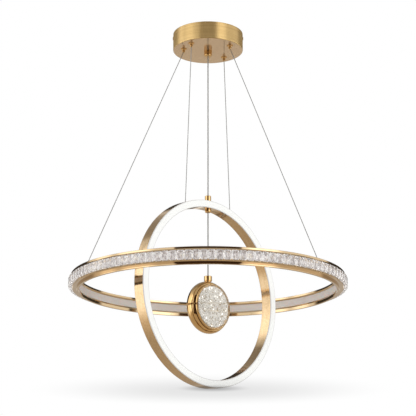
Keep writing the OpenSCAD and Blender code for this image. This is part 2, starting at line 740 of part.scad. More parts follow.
module led_band(r_in, r_out, z) {
    difference() {
        translate([0, 0, z - led_w / 2]) cylinder(r = r_out, h = led_w, $fn = FINE);
        translate([0, 0, z - led_w / 2 - 1]) cylinder(r = r_in, h = led_w + 2, $fn = FINE);
    }
}

// The strip that lights the inner diffuser, stuck to the inside of the web.
module ring_inner_led() {
    r = web_r - ring_web_t / 2 - led_seat;
    color(WHITE) led_band(r - led_t, r, inner_mid_z);
}

// The strip behind the crystals, stuck to the outside of the web.
module ring_outer_led() {
    r = web_r + ring_web_t / 2 + led_seat;
    color(WHITE) led_band(r, r + led_t, groove_mid_z);
}

// A pressed-in opal band with a shallow lip at its top and bottom.
module ring_diffuser() {
    r0 = ring_inner_r + ring_diffuser_recess;
    top = groove_top_z - crystal_fit;
    bottom = inner_groove_bottom_z + crystal_fit;
    color(WHITE) rotate_extrude($fn = FINE) polygon([
        [r0, bottom + 0.5], [r0 + 0.5, bottom], [r0 + ring_diffuser_t + 1.6, bottom],
        [r0 + ring_diffuser_t + 1.6, bottom + 1.2], [r0 + ring_diffuser_t, bottom + 1.8],
        [r0 + ring_diffuser_t, top - 1.8], [r0 + ring_diffuser_t + 1.6, top - 1.2],
        [r0 + ring_diffuser_t + 1.6, top], [r0 + 0.5, top], [r0, top - 0.5]
    ]);
}

// One step-cut crystal on the +X axis: a wedge-shaped block with cut corners and four sloping face facets.
module crystal() {
    half_back = crystal_back_r * tan(crystal_half_angle) - crystal_gap / 2;
    half_girdle = crystal_girdle_r * tan(crystal_half_angle) - crystal_gap / 2;
    half_table = half_girdle - 0.8 * crystal_crown;
    half_h = crystal_h / 2;
    depth = ring_r - crystal_back_r;
    translate([0, 0, groove_mid_z]) intersection() {
        translate([0, 0, -half_h]) linear_extrude(crystal_h) polygon([
            [crystal_back_r, -half_back], [crystal_girdle_r, -half_girdle], [ring_r, -half_table],
            [ring_r, half_table], [crystal_girdle_r, half_girdle], [crystal_back_r, half_back]
        ]);
        rotate([90, 0, 0]) linear_extrude(crystal_h, center = true) polygon([
            [crystal_back_r, -half_h], [crystal_girdle_r, -half_h], [ring_r, -half_h + crystal_crown],
            [ring_r, half_h - crystal_crown], [crystal_girdle_r, half_h], [crystal_back_r, half_h]
        ]);
        translate([crystal_back_r, 0, 0]) rotate([90, 0, 90]) linear_extrude(depth) polygon([
            [-half_girdle + crystal_corner, -half_h], [half_girdle - crystal_corner, -half_h],
            [half_girdle, -half_h + crystal_corner], [half_girdle, half_h - crystal_corner],
            [half_girdle - crystal_corner, half_h], [-half_girdle + crystal_corner, half_h],
            [-half_girdle, half_h - crystal_corner], [-half_girdle, -half_h + crystal_corner]
        ]);
    }
}

module ring_crystals() {
    color(CRYSTAL) for (i = [0:crystal_count - 1])
        rotate([0, 0, (2 * i + 1) * crystal_half_angle]) crystal();
}

// A low stud on the ring's upper rail with a flared mouth that a wire enters at a slant.
module ring_anchor() {
    top = ring_top_z + anchor_h;
    rotate_extrude($fn = ROUND) polygon([
        [0, ring_top_z - anchor_stem_l], [anchor_stem_d / 2, ring_top_z - anchor_stem_l],
        [anchor_stem_d / 2, ring_top_z], [anchor_d / 2, ring_top_z], [anchor_d / 2, top - 0.8],
        [anchor_d / 2 - anchor_edge, top], [anchor_mouth_r, top], [anchor_bore_r, top - flare_h],
        [anchor_bore_r, top - flare_h - anchor_bore_depth], [0, top - flare_h - anchor_bore_depth]
    ]);
}

module ring_anchors() {
    color(POLISHED) for (az = ANCHOR_AZ) translate(polar(anchor_r, az, 0)) ring_anchor();
}

module straight_wire(p, q) {
    color(STEEL) along(p, q) cylinder(r = wire_r, h = norm(q - p), $fn = SMALL);
}

module ring_wire_left() { straight_wire(wire_start(ring_left_grip), ring_wire_end(anchor_left_az)); }
module ring_wire_right() { straight_wire(wire_start(ring_right_grip), ring_wire_end(anchor_right_az)); }
module ring_wire_rear() { straight_wire(wire_start(ring_rear_grip), ring_wire_end(anchor_rear_az)); }

module hoop_wire_left() { straight_wire(wire_start(hoop_left_grip), hoop_wire_end(hoop_left_grip, -1)); }
module hoop_wire_right() { straight_wire(wire_start(hoop_right_grip), hoop_wire_end(hoop_right_grip, 1)); }

// Stands a section upright about the hoop's centre. The section's second coordinate runs to its lit front.
module upright(z, yaw) {
    translate([0, 0, z]) rotate([0, 0, yaw]) rotate([90, 0, 0]) children();
}

// The hoop's gold channel, open at the front, with the holes for the tube and the two wires.
module hoop_channel() {
    e = hoop_edge_r;
    profile = concat(
        [[hoop_inner_r, hoop_lip_w]],
        arc(hoop_inner_r + e, hoop_back_w + e, e, e, 180, 270, 4),
        arc(hoop_r - e, hoop_back_w + e, e, e, 270, 360, 4),
        [[hoop_r, hoop_lip_w], [hoop_r - hoop_wall, hoop_lip_w],
         [hoop_r - hoop_wall, hoop_back_w + hoop_wall],
         [hoop_inner_r + hoop_wall, hoop_back_w + hoop_wall], [hoop_inner_r + hoop_wall, hoop_lip_w]]
    );
    color(GOLD) difference() {
        upright(hoop_z, hoop_yaw) rotate_extrude($fn = FINE) polygon(profile);
        translate([0, 0, hoop_inner_top_z - 2])
            cylinder(r = collar_tube_d / 2 + pass_gap, h = hoop_face_w + 4, $fn = ROUND);
        for (w = [[hoop_left_grip, -1], [hoop_right_grip, 1]]) {
            p = wire_start(w[0]);
            q = hoop_wire_pass(w[1]);
            along(q, p) translate([0, 0, -4]) cylinder(r = hoop_wire_hole_r, h = 6, $fn = SMALL);
        }
    }
}

// The flat ring of LEDs on the channel's back wall.
module hoop_led() {
    w0 = hoop_back_w + hoop_wall + led_seat;
    color(WHITE) upright(hoop_z, hoop_yaw) rotate_extrude($fn = FINE) polygon([
        [hoop_mid_r - hoop_led_w / 2, w0], [hoop_mid_r + hoop_led_w / 2, w0],
        [hoop_mid_r + hoop_led_w / 2, w0 + led_t], [hoop_mid_r - hoop_led_w / 2, w0 + led_t]
    ]);
}

// The lit front: an opal face over the channel's lips with a leg pressed inside each wall.
module hoop_diffuser() {
    out = hoop_r - 0.2;
    inn = hoop_inner_r + 0.2;
    leg_out = hoop_r - hoop_wall - led_seat;
    leg_in = hoop_inner_r + hoop_wall + led_seat;
    w0 = hoop_lip_w;
    color(WHITE) upright(hoop_z, hoop_yaw) rotate_extrude($fn = FINE) polygon(concat(
        [[leg_in, w0 - hoop_leg_l], [leg_in + hoop_leg_t, w0 - hoop_leg_l], [leg_in + hoop_leg_t, w0],
         [leg_out - hoop_leg_t, w0], [leg_out - hoop_leg_t, w0 - hoop_leg_l], [leg_out, w0 - hoop_leg_l],
         [leg_out, w0], [out, w0]],
        arc(out - 0.6, hoop_front_w - 0.6, 0.6, 0.6, 0, 90, 3),
        arc(inn + 0.6, hoop_front_w - 0.6, 0.6, 0.6, 90, 180, 3),
        [[inn, w0], [leg_in, w0]]
    ));
}

// A crimped stop on the end of each hoop wire, inside the channel.
module hoop_wire_stops() {
    color(STEEL) for (w = [[hoop_left_grip, -1], [hoop_right_grip, 1]]) {
        p = wire_start(w[0]);
        q = hoop_wire_end(w[0], w[1]);
        along(q, p) difference() {
            cylinder(d = hoop_stop_d, h = hoop_stop_l, $fn = SMALL);
            translate([0, 0, -1]) cylinder(r = wire_r + screw_gap, h = hoop_stop_l + 2, $fn = SMALL);
        }
    }
}

module collar_tube() {
    h = collar_tube_top_z - collar_tube_bottom_z;
    color(POLISHED) ring_at(collar_tube_bottom_z, collar_tube_d / 2, cable_bore_r + 0.2, h);
}

// The collar on top of the hoop. It is screwed on the tube and a grub screw above the tube holds the cable.
module collar_upper() {
    r = collar_d / 2;
    tube_r = collar_tube_d / 2 + screw_gap;
    color(POLISHED) difference() {
        rotate_extrude($fn = ROUND) polygon([
            [tube_r, hoop_top_z], [r, hoop_top_z], [r, collar_upper_top_z - 0.6],
            [r - 0.6, collar_upper_top_z], [cable_bore_r, collar_upper_top_z],
            [cable_bore_r, collar_tube_top_z + seat_gap], [tube_r, collar_tube_top_z + seat_gap]
        ]);
        translate([0, 0, collar_grub_z]) rotate([-90, 0, 0])
            cylinder(r = m3 / 2 + screw_gap, h = r + 1, $fn = SMALL);
    }
}

module collar_lower() {
    r = collar_d / 2;
    e = collar_round_r;
    tube_r = collar_tube_d / 2 + screw_gap;
    color(POLISHED) rotate_extrude($fn = ROUND) polygon(concat(
        [[tube_r, collar_lower_top_z], [tube_r, collar_tube_bottom_z - seat_gap],
         [cable_bore_r, collar_tube_bottom_z - seat_gap], [cable_bore_r, collar_lower_bottom_z]],
        arc(r - e, collar_lower_bottom_z + e, e, e, -90, 0, 6),
        [[r, collar_lower_top_z]]
    ));
}

module collar_grub_screws() {
    color(STEEL) grub(cable_r + grub_gap, collar_d / 2 - 0.6, collar_grub_z);
}

// A length of the round cable between two heights.
module cable(z0, z1) {
    color(STEEL) translate([0, 0, z0]) cylinder(r = cable_r, h = z1 - z0, $fn = SMALL);
}

module cable_upper() { cable(cable_join_z, cable_top_z); }
module cable_lower() { cable(cable_end_z, cable_join_z); }

// The cup of the ferrule. Its floor carries the head of the swivel stud.
module ferrule_cup() {
    r = ferrule_d / 2;
    color(POLISHED) rotate_extrude($fn = ROUND) polygon([
        [stud_d / 2 + run_gap, ferrule_bottom_z], [r - 0.6, ferrule_bottom_z], [r, ferrule_bottom_z + 0.6],
        [r, ferrule_chamber_top_z], [r - ferrule_wall, ferrule_chamber_top_z],
        [r - ferrule_wall, ferrule_web_z], [stud_d / 2 + run_gap, ferrule_web_z]
    ]);
}

// The cap closes the cup from above and grips the cable.
module ferrule_cap() {
    r = ferrule_d / 2;
    plug_r = r - ferrule_wall - screw_gap;
    color(POLISHED) difference() {
        rotate_extrude($fn = ROUND) polygon([
            [cable_bore_r, ferrule_chamber_top_z - 1], [plug_r, ferrule_chamber_top_z - 1],
            [plug_r, ferrule_chamber_top_z], [r, ferrule_chamber_top_z], [r, ferrule_top_z - 0.5],
            [r - 0.5, ferrule_top_z], [cable_bore_r, ferrule_top_z]
        ]);
        translate([0, 0, ferrule_top_z - ferrule_cap_t / 2]) rotate([-90, 0, 0])
            cylinder(r = m3 / 2 + screw_gap, h = r + 1, $fn = SMALL);
    }
}

module ferrule_grub_screw() {
    color(STEEL) grub(cable_r + grub_gap, ferrule_d / 2 - 0.8, ferrule_top_z - ferrule_cap_t / 2);
}

// A hollow stud screwed into the disc. Its head turns in the ferrule, so the disc can face any way.
module swivel_stud() {
    head_z = ferrule_web_z + stud_play;
    foot_z = disc_z + disc_r - stud_foot_depth;
    color(STEEL) rotate_extrude($fn = ROUND) polygon([
        [stud_bore_d / 2, foot_z], [stud_d / 2, foot_z], [stud_d / 2, head_z], [stud_head_d / 2, head_z],
        [stud_head_d / 2, head_z + stud_head_t], [stud_bore_d / 2, head_z + stud_head_t]
    ]);
}

module disc_frame() {
    upright(disc_z, disc_yaw) children();
}

// Places its children at each of the three posts inside the shell.
module at_posts(w) {
    disc_frame() for (k = [0:2]) rotate([0, 0, 120 * k + shell_post_turn])
        translate([shell_post_r, 0, w]) children();
}

// The polished shell: a fat rounded rim, a shallow domed back and a small boss for the stud on its top.
module disc_shell() {
    a = shell_half_depth;
    front_angle = asin(shell_front_w / a);
    t = shell_wall;
    inner_front = asin(shell_front_w / (a - t) < 1 ? shell_front_w / (a - t) : 1);
    outer = arc(shell_core_r, 0, shell_bulge, a, front_angle, -90, 24);
    inner = arc(shell_core_r, 0, shell_bulge - t, a - t, -90, inner_front, 24);
    lip_r = bezel_skirt_r + screw_gap;
    profile = concat(
        [[lip_r, shell_front_w]],
        outer,
        [[shell_core_r * 0.6, -a - shell_back_dome * 0.7], [0, -a - shell_back_dome],
         [0, -a - shell_back_dome + t], [shell_core_r * 0.6, -a - shell_back_dome * 0.7 + t]],
        [for (p = inner) if (p.y < skirt_bottom_w - 0.5 || p.x > lip_r) p],
        [[lip_r, min(shell_front_w - t, skirt_bottom_w + 2.5)]]
    );
    color(POLISHED) difference() {
        union() {
            disc_frame() rotate_extrude($fn = FINE) polygon(profile);
            translate([0, 0, disc_z + disc_r - disc_boss_root])
                cylinder(d = disc_boss_d, h = disc_boss_root + disc_boss_h, $fn = ROUND);
            at_posts(-a - 0.5) cylinder(d = shell_post_d, h = a + 0.5 + board_w, $fn = SMALL);
        }
        translate([0, 0, disc_z + disc_r - disc_boss_root - 1])
            cylinder(r = stud_d / 2 + screw_gap, h = disc_boss_root + 2 + disc_boss_h, $fn = ROUND);
        at_posts(board_w - board_screw_l)
            cylinder(r = board_screw_d / 2 + screw_gap, h = board_screw_l + 1, $fn = SMALL);
    }
}

// The ring that holds the crystal face. Its skirt is pressed into the shell, and a groove is left before it.
module disc_bezel() {
    top = bezel_top_w;
    color(POLISHED) disc_frame() rotate_extrude($fn = FINE) polygon([
        [skirt_inner_r, skirt_bottom_w], [bezel_skirt_r, skirt_bottom_w], [bezel_skirt_r, bezel_base_w],
        [bezel_outer_r - 2 * bezel_edge, bezel_base_w], [bezel_outer_r, bezel_base_w + 2 * bezel_edge],
        [face_r + 3 * bezel_edge, top], [face_r + screw_gap + bezel_edge, top],
        [face_r + screw_gap, top - bezel_edge], [face_r + screw_gap, face_seat_w],
        [skirt_inner_r, face_seat_w]
    ]);
}

// The crushed-glass lens: a thick disc with a domed front.
module disc_crystal() {
    base = face_seat_w + screw_gap;
    dome = arc(0, face_edge_w, face_r, face_dome, 0, 90, 12);
    color(CRYSTAL) disc_frame() rotate_extrude($fn = FINE) polygon(concat([[0, base], [face_r, base]], dome));
}

// An opal plate behind the lens that hides the LEDs.
module disc_opal_plate() {
    color(WHITE) disc_frame() translate([0, 0, face_seat_w - opal_t - seat_gap])
        cylinder(r = skirt_inner_r - screw_gap, h = opal_t, $fn = FINE);
}

// The board's LEDs face the opal plate, and three screws hold it to the posts.
module disc_led_board() {
    color(WHITE) difference() {
        disc_frame() {
            translate([0, 0, board_w]) cylinder(r = board_r, h = board_t, $fn = FINE);
            for (k = [0:board_led_count - 1]) rotate([0, 0, 360 / board_led_count * (k + 0.5)])
                translate([0.85 * board_r - board_led_size / 2, -board_led_size / 2, board_w + board_t - EPS])
                    cube([board_led_size, board_led_size, board_led_t]);
        }
        at_posts(board_w - 1) cylinder(r = board_screw_d / 2 + pass_gap, h = board_t + 2, $fn = SMALL);
    }
}

module board_screws() {
    color(STEEL) at_posts(board_w + board_t) rotate([180, 0, 0])
        screw_up(board_screw_d, board_screw_l, board_screw_head_d, board_screw_head_t);
}

canopy_cover();
mounting_plate();
cover_screws();
led_driver();
driver_screws();
terminal_block();
terminal_screws();
earth_screw();
cable_gland();
gland_nut();
gland_grub_screw();
gripper_bodies();
gripper_nuts();
release_ring_left();
release_ring_right();
release_ring_rear();
release_hoop_left();
release_hoop_right();
balls_ring_left();
spring_ring_left();
balls_ring_right();
spring_ring_right();
balls_ring_rear();
spring_ring_rear();
balls_hoop_left();
spring_hoop_left();
balls_hoop_right();
spring_hoop_right();
ring_frame();
ring_inner_led();
ring_outer_led();
ring_diffuser();
ring_crystals();
ring_anchors();
wire_tails();
ring_wire_left();
ring_wire_right();
ring_wire_rear();
hoop_channel();
hoop_led();
hoop_diffuser();
hoop_wire_stops();
hoop_wire_left();
hoop_wire_right();
collar_upper();
collar_lower();
collar_tube();
collar_grub_screws();
cable_upper();
cable_lower();
ferrule_cup();
ferrule_cap();
ferrule_grub_screw();
swivel_stud();
disc_shell();
disc_bezel();
disc_crystal();
disc_opal_plate();
disc_led_board();
board_screws();
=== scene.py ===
import math
import random

import bpy
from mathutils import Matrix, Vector


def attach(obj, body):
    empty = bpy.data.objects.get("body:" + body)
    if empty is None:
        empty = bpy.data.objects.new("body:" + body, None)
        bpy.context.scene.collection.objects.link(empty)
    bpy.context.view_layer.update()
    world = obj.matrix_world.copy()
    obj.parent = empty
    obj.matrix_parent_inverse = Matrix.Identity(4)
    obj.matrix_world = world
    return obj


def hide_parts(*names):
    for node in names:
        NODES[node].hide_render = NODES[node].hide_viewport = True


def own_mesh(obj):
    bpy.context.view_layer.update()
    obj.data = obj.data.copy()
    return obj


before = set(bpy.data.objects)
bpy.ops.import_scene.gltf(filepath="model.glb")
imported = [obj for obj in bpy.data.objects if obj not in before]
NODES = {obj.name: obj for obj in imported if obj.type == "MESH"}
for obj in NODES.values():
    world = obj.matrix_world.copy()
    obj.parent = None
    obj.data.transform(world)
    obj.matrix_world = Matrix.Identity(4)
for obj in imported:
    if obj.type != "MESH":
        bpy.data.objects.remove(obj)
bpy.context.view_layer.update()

MM = 0.001

# Places and sizes of the light, in metres, as the part's source has them.
WIRE_D = 1.8 * MM
CABLE_D = 3.0 * MM
WIRE_START_Z = -46.6 * MM
WIRE_END_Z = -560.8 * MM
ANCHOR_R = 283 * MM
GROOVE_TOP_Z = -568.9 * MM
GROOVE_BOTTOM_Z = -589.1 * MM
ANCHOR_AZIMUTHS = {"left": 208.3, "right": 322.2, "rear": 90.0}
CRYSTAL_COUNT = 120
CRYSTAL_GAP = 0.5 * MM
HOOP_Z = -597 * MM
HOOP_R = 203.5 * MM
HOOP_INNER_R = 187.4 * MM
HOOP_YAW = 45.6
HOOP_WIRE_ANGLE = 20.0
DISC_Z = -628 * MM
DISC_YAW = 44.8
CABLE_TOP_Z = -26 * MM
CABLE_JOIN_Z = -401.55 * MM
CABLE_END_Z = -563.4 * MM

# Where each wire leaves its gripper, as a radius in millimetres and a bearing.
GRIPPERS = {
    "ring_left": (56, 193), "ring_right": (59, 326), "ring_rear": (24, 90),
    "hoop_left": (60, 232), "hoop_right": (53.5, 47),
}


def polar(radius, azimuth, z):
    """A point at that radius, bearing in degrees and height."""
    a = math.radians(azimuth)
    return Vector((radius * math.cos(a), radius * math.sin(a), z))


# Camera

CAMERA_PLACE = (0.0, -2.962, -1.200)
CAMERA_PITCH = 105.0
CAMERA_FOCAL_PX = 1401.6
IMAGE_PX = 416
SENSOR_MM = 36.0


def place_camera():
    data = bpy.data.cameras.new("photo_camera")
    data.sensor_width = SENSOR_MM
    data.lens = CAMERA_FOCAL_PX * SENSOR_MM / IMAGE_PX
    data.clip_end = 60
    camera = bpy.data.objects.new("photo_camera", data)
    camera.location = CAMERA_PLACE
    camera.rotation_euler = (math.radians(CAMERA_PITCH), 0, 0)
    bpy.context.scene.collection.objects.link(camera)
    bpy.context.scene.camera = camera


place_camera()


# Node trees

def add(tree, kind, inputs=(), **settings):
    """A new node. Each input is a number or colour, or an output socket to link to it."""
    made = tree.nodes.new(kind)
    for key, value in settings.items():
        setattr(made, key, value)
    for key, value in dict(inputs).items():
        if isinstance(value, bpy.types.NodeSocket):
            tree.links.new(value, made.inputs[key])
        else:
            made.inputs[key].default_value = value
    return made


def maths(tree, operation, a, b=0.0, c=0.5):
    """The result of a Math node, of which only MULTIPLY_ADD reads c."""
    return add(tree, "ShaderNodeMath", {0: a, 1: b, 2: c}, operation=operation).outputs[0]


def rise(tree, value, low, high):
    """Goes smoothly from 0 to 1 as the value goes from low to high."""
    ramp = add(tree, "ShaderNodeMapRange", {"Value": value, "From Min": low, "From Max": high},
               interpolation_type="SMOOTHSTEP")
    return ramp.outputs["Result"]


def between(tree, value, low, high, soft):
    """1 where the value is from low to high, with soft edges."""
    up = rise(tree, value, low - soft, low + soft)
    down = rise(tree, value, high - soft, high + soft)
    return maths(tree, "SUBTRACT", up, down)


def mixed(tree, amount, a, b):
    """A colour from a to b by the amount."""
    made = add(tree, "ShaderNodeMix", {"Factor": amount}, data_type="RGBA")
    for socket, value in ((made.inputs[6], a), (made.inputs[7], b)):
        if isinstance(value, bpy.types.NodeSocket):
            tree.links.new(value, socket)
        else:
            socket.default_value = (*value, 1)
    return made.outputs[2]


def spread(tree, value, low, high):
    """Maps 0 to 1 onto low to high."""
    ramp = add(tree, "ShaderNodeMapRange", {"Value": value, "To Min": low, "To Max": high})
    return ramp.outputs["Result"]


def object_place(tree):
    return add(tree, "ShaderNodeTexCoord").outputs["Object"]


def noise_at(tree, vector, detail):
    return add(tree, "ShaderNodeTexNoise", {"Vector": vector, "Scale": 1.0, "Detail": detail}).outputs["Fac"]


def stretched_noise(tree, scale, detail):
    """Noise whose grain is scale times per metre along each axis."""
    mapping = add(tree, "ShaderNodeMapping", {"Vector": object_place(tree), "Scale": scale})
    return noise_at(tree, mapping.outputs[0], detail)


def shader_of(name, colour, metallic=0.0, roughness=0.4, **sockets):
    """A new material with its tree and Principled shader, whose sockets hold the uniform values."""
    material = bpy.data.materials.new(name)
    material.use_nodes = True
    tree = material.node_tree
    shader = tree.nodes["Principled BSDF"]
    shader.inputs["Base Color"].default_value = (*colour, 1)
    shader.inputs["Metallic"].default_value = metallic
    shader.inputs["Roughness"].default_value = roughness
    for key, value in sockets.items():
        shader.inputs[key.replace("_", " ")].default_value = value
    return material, tree, shader


def feed(tree, shader, **sockets):
    """Links an output to each named input of the shader."""
    for key, value in sockets.items():
        tree.links.new(value, shader.inputs[key.replace("_", " ")])


def bumped(tree, shader, height, strength, distance):
    bump = add(tree, "ShaderNodeBump", {"Height": height, "Strength": strength, "Distance": distance})
    feed(tree, shader, Normal=bump.outputs[0])


# Metals

def canopy_brass():
    """Brushed round the side in fine level lines. The underside is smoother and rosier."""
    material, tree, shader = shader_of("canopy_brass", (0.76, 0.62, 0.34), 0.72, 0.3, Anisotropic_Rotation=0.25)
    grain = rise(tree, stretched_noise(tree, (6, 6, 1100), 4), 0.2, 0.8)
    drift = stretched_noise(tree, (14, 14, 90), 2)
    up = add(tree, "ShaderNodeSeparateXYZ", {0: add(tree, "ShaderNodeNewGeometry").outputs["Normal"]}).outputs[2]
    under = rise(tree, up, -0.75, -0.95)
    rim = rise(tree, maths(tree, "ABSOLUTE", up), 0.05, 0.12)
    side = mixed(tree, grain, (0.575, 0.385, 0.15), (0.75, 0.54, 0.24))
    colour = mixed(tree, under, side, (0.66, 0.485, 0.30))
    feed(tree, shader, Base_Color=colour)
    rough = spread(tree, drift, 0.36, 0.46)
    rough = maths(tree, "SUBTRACT", rough, maths(tree, "MULTIPLY", rim, 0.26))
    feed(tree, shader, Roughness=rough)
    feed(tree, shader, Anisotropic=maths(tree, "SUBTRACT", 1.0, rim))
    tangent = add(tree, "ShaderNodeTangent", direction_type="RADIAL", axis="Z")
    feed(tree, shader, Tangent=tangent.outputs[0])
    bumped(tree, shader, grain, 0.12, 0.0002)
    return material


def polished_brass():
    material, tree, shader = shader_of("polished_brass", (0.83, 0.58, 0.26), 1.0, 0.08)
    haze = stretched_noise(tree, (160, 160, 160), 4)
    colour = mixed(tree, haze, (0.61, 0.385, 0.155), (0.73, 0.50, 0.24))
    feed(tree, shader, Base_Color=colour)
    feed(tree, shader, Roughness=spread(tree, haze, 0.04, 0.12))
    bumped(tree, shader, stretched_noise(tree, (60, 60, 60), 2), 0.03, 0.0004)
    return material


def hidden_brass():
    material, tree, shader = shader_of("hidden_brass", (0.55, 0.42, 0.22), 1.0, 0.32)
    marks = stretched_noise(tree, (300, 300, 900), 5)
    feed(tree, shader, Base_Color=mixed(tree, marks, (0.46, 0.33, 0.15), (0.66, 0.52, 0.28)))
    feed(tree, shader, Roughness=spread(tree, marks, 0.24, 0.46))
    return material


def gold_rail():
    """The bent rails of the ring, drawn lengthwise, so their fine lines follow the bend."""
    material, tree, shader = shader_of("gold_rail", (0.68, 0.48, 0.26), 1.0, 0.07)
    lines = stretched_noise(tree, (12, 12, 1800), 3)
    feed(tree, shader, Base_Color=mixed(tree, lines, (0.55, 0.40, 0.235), (0.69, 0.53, 0.33)))
    feed(tree, shader, Roughness=spread(tree, lines, 0.04, 0.10))
    return material


def hoop_place(tree):
    """How far a point lies in front of the hoop's middle plane, and how far from its axis."""
    shifted = add(tree, "ShaderNodeVectorMath", {0: object_place(tree), 1: (0, 0, HOOP_Z)},
                  operation="SUBTRACT").outputs[0]
    yaw = math.radians(HOOP_YAW)
    facing = (math.sin(yaw), -math.cos(yaw), 0)
    depth = add(tree, "ShaderNodeVectorMath", {0: shifted, 1: facing}, operation="DOT_PRODUCT").outputs["Value"]
    whole = add(tree, "ShaderNodeVectorMath", {0: shifted}, operation="LENGTH").outputs["Value"]
    flat = maths(tree, "SQRT", maths(tree, "SUBTRACT", maths(tree, "MULTIPLY", whole, whole),
                                     maths(tree, "MULTIPLY", depth, depth)))
    return depth, flat


def gold_channel():
    """The hoop's channel, with fine drawn lines along its length and a faint cloud across them."""
    material, tree, shader = shader_of("gold_channel", (0.80, 0.64, 0.42), 1.0, 0.12)
    depth, flat = hoop_place(tree)
    across = add(tree, "ShaderNodeCombineXYZ", {0: maths(tree, "MULTIPLY", depth, 1300.0),
                                                1: maths(tree, "MULTIPLY", flat, 900.0)}).outputs[0]
    drawn = noise_at(tree, across, 3)
    cloud = stretched_noise(tree, (240, 240, 240), 4)
    lines = rise(tree, maths(tree, "MULTIPLY", maths(tree, "ADD", drawn, cloud), 0.5), 0.3, 0.7)
    feed(tree, shader, Base_Color=mixed(tree, lines, (0.53, 0.375, 0.21), (0.69, 0.52, 0.32)))
    feed(tree, shader, Roughness=spread(tree, lines, 0.06, 0.13))
    bumped(tree, shader, lines, 0.04, 0.0003)
    return material


def steel_plate():
    """Zinc-coated sheet with its pale spangle."""
    material, tree, shader = shader_of("steel_plate", (0.55, 0.56, 0.57), 1.0, 0.38)
    spangle = add(tree, "ShaderNodeTexVoronoi", {"Vector": object_place(tree), "Scale": 160.0}).outputs["Color"]
    grey = add(tree, "ShaderNodeRGBToBW", {0: spangle}).outputs[0]
    feed(tree, shader, Base_Color=mixed(tree, grey, (0.46, 0.47, 0.49), (0.64, 0.65, 0.66)))
    feed(tree, shader, Roughness=spread(tree, grey, 0.28, 0.48))
    return material


def screw_steel():
    material, tree, shader = shader_of("screw_steel", (0.60, 0.60, 0.59), 1.0, 0.26)
    marks = stretched_noise(tree, (900, 900, 900), 4)
    feed(tree, shader, Base_Color=mixed(tree, marks, (0.52, 0.52, 0.51), (0.68, 0.68, 0.66)))
    feed(tree, shader, Roughness=spread(tree, marks, 0.18, 0.36))
    return material


def suspension_wire():
    """Bright steel strand, darker and lighter at random in short upright streaks."""
    material, tree, shader = shader_of("suspension_wire", (0.62, 0.62, 0.62), 1.0, 0.34)
    dirt = stretched_noise(tree, (700, 700, 160), 4)
    feed(tree, shader, Base_Color=mixed(tree, dirt, (0.26, 0.26, 0.26), (0.40, 0.40, 0.395)))
    feed(tree, shader, Roughness=spread(tree, dirt, 0.26, 0.42))
    return material


# Plastics, opal and glass

def moulded(name, low, high, roughness):
    material, tree, shader = shader_of(name, low, 0.0, roughness)
    grain = stretched_noise(tree, (1400, 1400, 1400), 3)
    feed(tree, shader, Base_Color=mixed(tree, grain, low, high))
    bumped(tree, shader, grain, 0.15, 0.0001)
    return material


def clear_cable():
    """A clear jacket over the tinned conductors, so it looks silver grey."""
    material, tree, shader = shader_of("clear_cable", (0.60, 0.60, 0.59), 0.35, 0.28, Coat_Weight=0.8,
                                       Coat_Roughness=0.05)
    lay = stretched_noise(tree, (800, 800, 120), 3)
    feed(tree, shader, Base_Color=mixed(tree, lay, (0.26, 0.26, 0.255), (0.42, 0.42, 0.415)))
    return material


def led_strip():
    """White board with pale yellow chips every few millimetres round the strip."""
    material, tree, shader = shader_of("led_strip", (0.84, 0.82, 0.81), 0.0, 0.45, Emission_Strength=0.32)
    dots = add(tree, "ShaderNodeTexVoronoi", {"Vector": object_place(tree), "Scale": 130.0}).outputs["Distance"]
    chip = rise(tree, dots, 0.42, 0.30)
    feed(tree, shader, Base_Color=mixed(tree, chip, (0.84, 0.82, 0.81), (0.93, 0.84, 0.58)))
    feed(tree, shader, Emission_Color=mixed(tree, chip, (0.55, 0.53, 0.53), (1.0, 0.97, 0.92)))
    return material


def ring_opal():
    """The ring's inner diffuser, unlit and a little rosy, with a faint painted glow."""
    # Emission gives the unlit diffuser a faint painted glow.
    material, tree, shader = shader_of("ring_opal", (0.62, 0.58, 0.56), 0.0, 0.42, Subsurface_Weight=0.25,
                                       Subsurface_Scale=0.004, Emission_Strength=0.12)
    cloud = stretched_noise(tree, (60, 60, 60), 3)
    feed(tree, shader, Base_Color=mixed(tree, cloud, (0.47, 0.42, 0.385), (0.54, 0.495, 0.46)))
    shader.inputs["Emission Color"].default_value = (1.0, 0.94, 0.90, 1)
    return material


# How wide and how soft the painted shade is along the lit opal's edges.
OPAL_PAINTED_SHADE_EDGE = 1.5 * MM
OPAL_PAINTED_SHADE_SOFT = 0.9 * MM


def hoop_opal():
    """Lit opal, white over its face, with painted shade greying it where it meets the channel's walls."""
    material, tree, shader = shader_of("hoop_opal", (0.40, 0.40, 0.395), 0.0, 0.5, Emission_Strength=0.62)
    _, flat = hoop_place(tree)
    lit = between(tree, flat, HOOP_INNER_R + OPAL_PAINTED_SHADE_EDGE, HOOP_R - OPAL_PAINTED_SHADE_EDGE, OPAL_PAINTED_SHADE_SOFT)
    cloud = stretched_noise(tree, (35, 35, 35), 2)
    white = mixed(tree, cloud, (0.93, 0.955, 0.935), (0.98, 1.0, 0.985))
    # Painted edge shade: grey emission outside the lit middle of the face.
    feed(tree, shader, Emission_Color=mixed(tree, lit, (0.46, 0.46, 0.47), white))
    return material


def disc_opal():
    # Emission gives the unlit disc a painted glow.
    material, tree, shader = shader_of("disc_opal", (0.80, 0.78, 0.75), 0.0, 0.5, Emission_Strength=0.35)
    cloud = stretched_noise(tree, (90, 90, 90), 3)
    feed(tree, shader, Emission_Color=mixed(tree, cloud, (0.92, 0.88, 0.82), (1.0, 0.97, 0.92)))
    return material


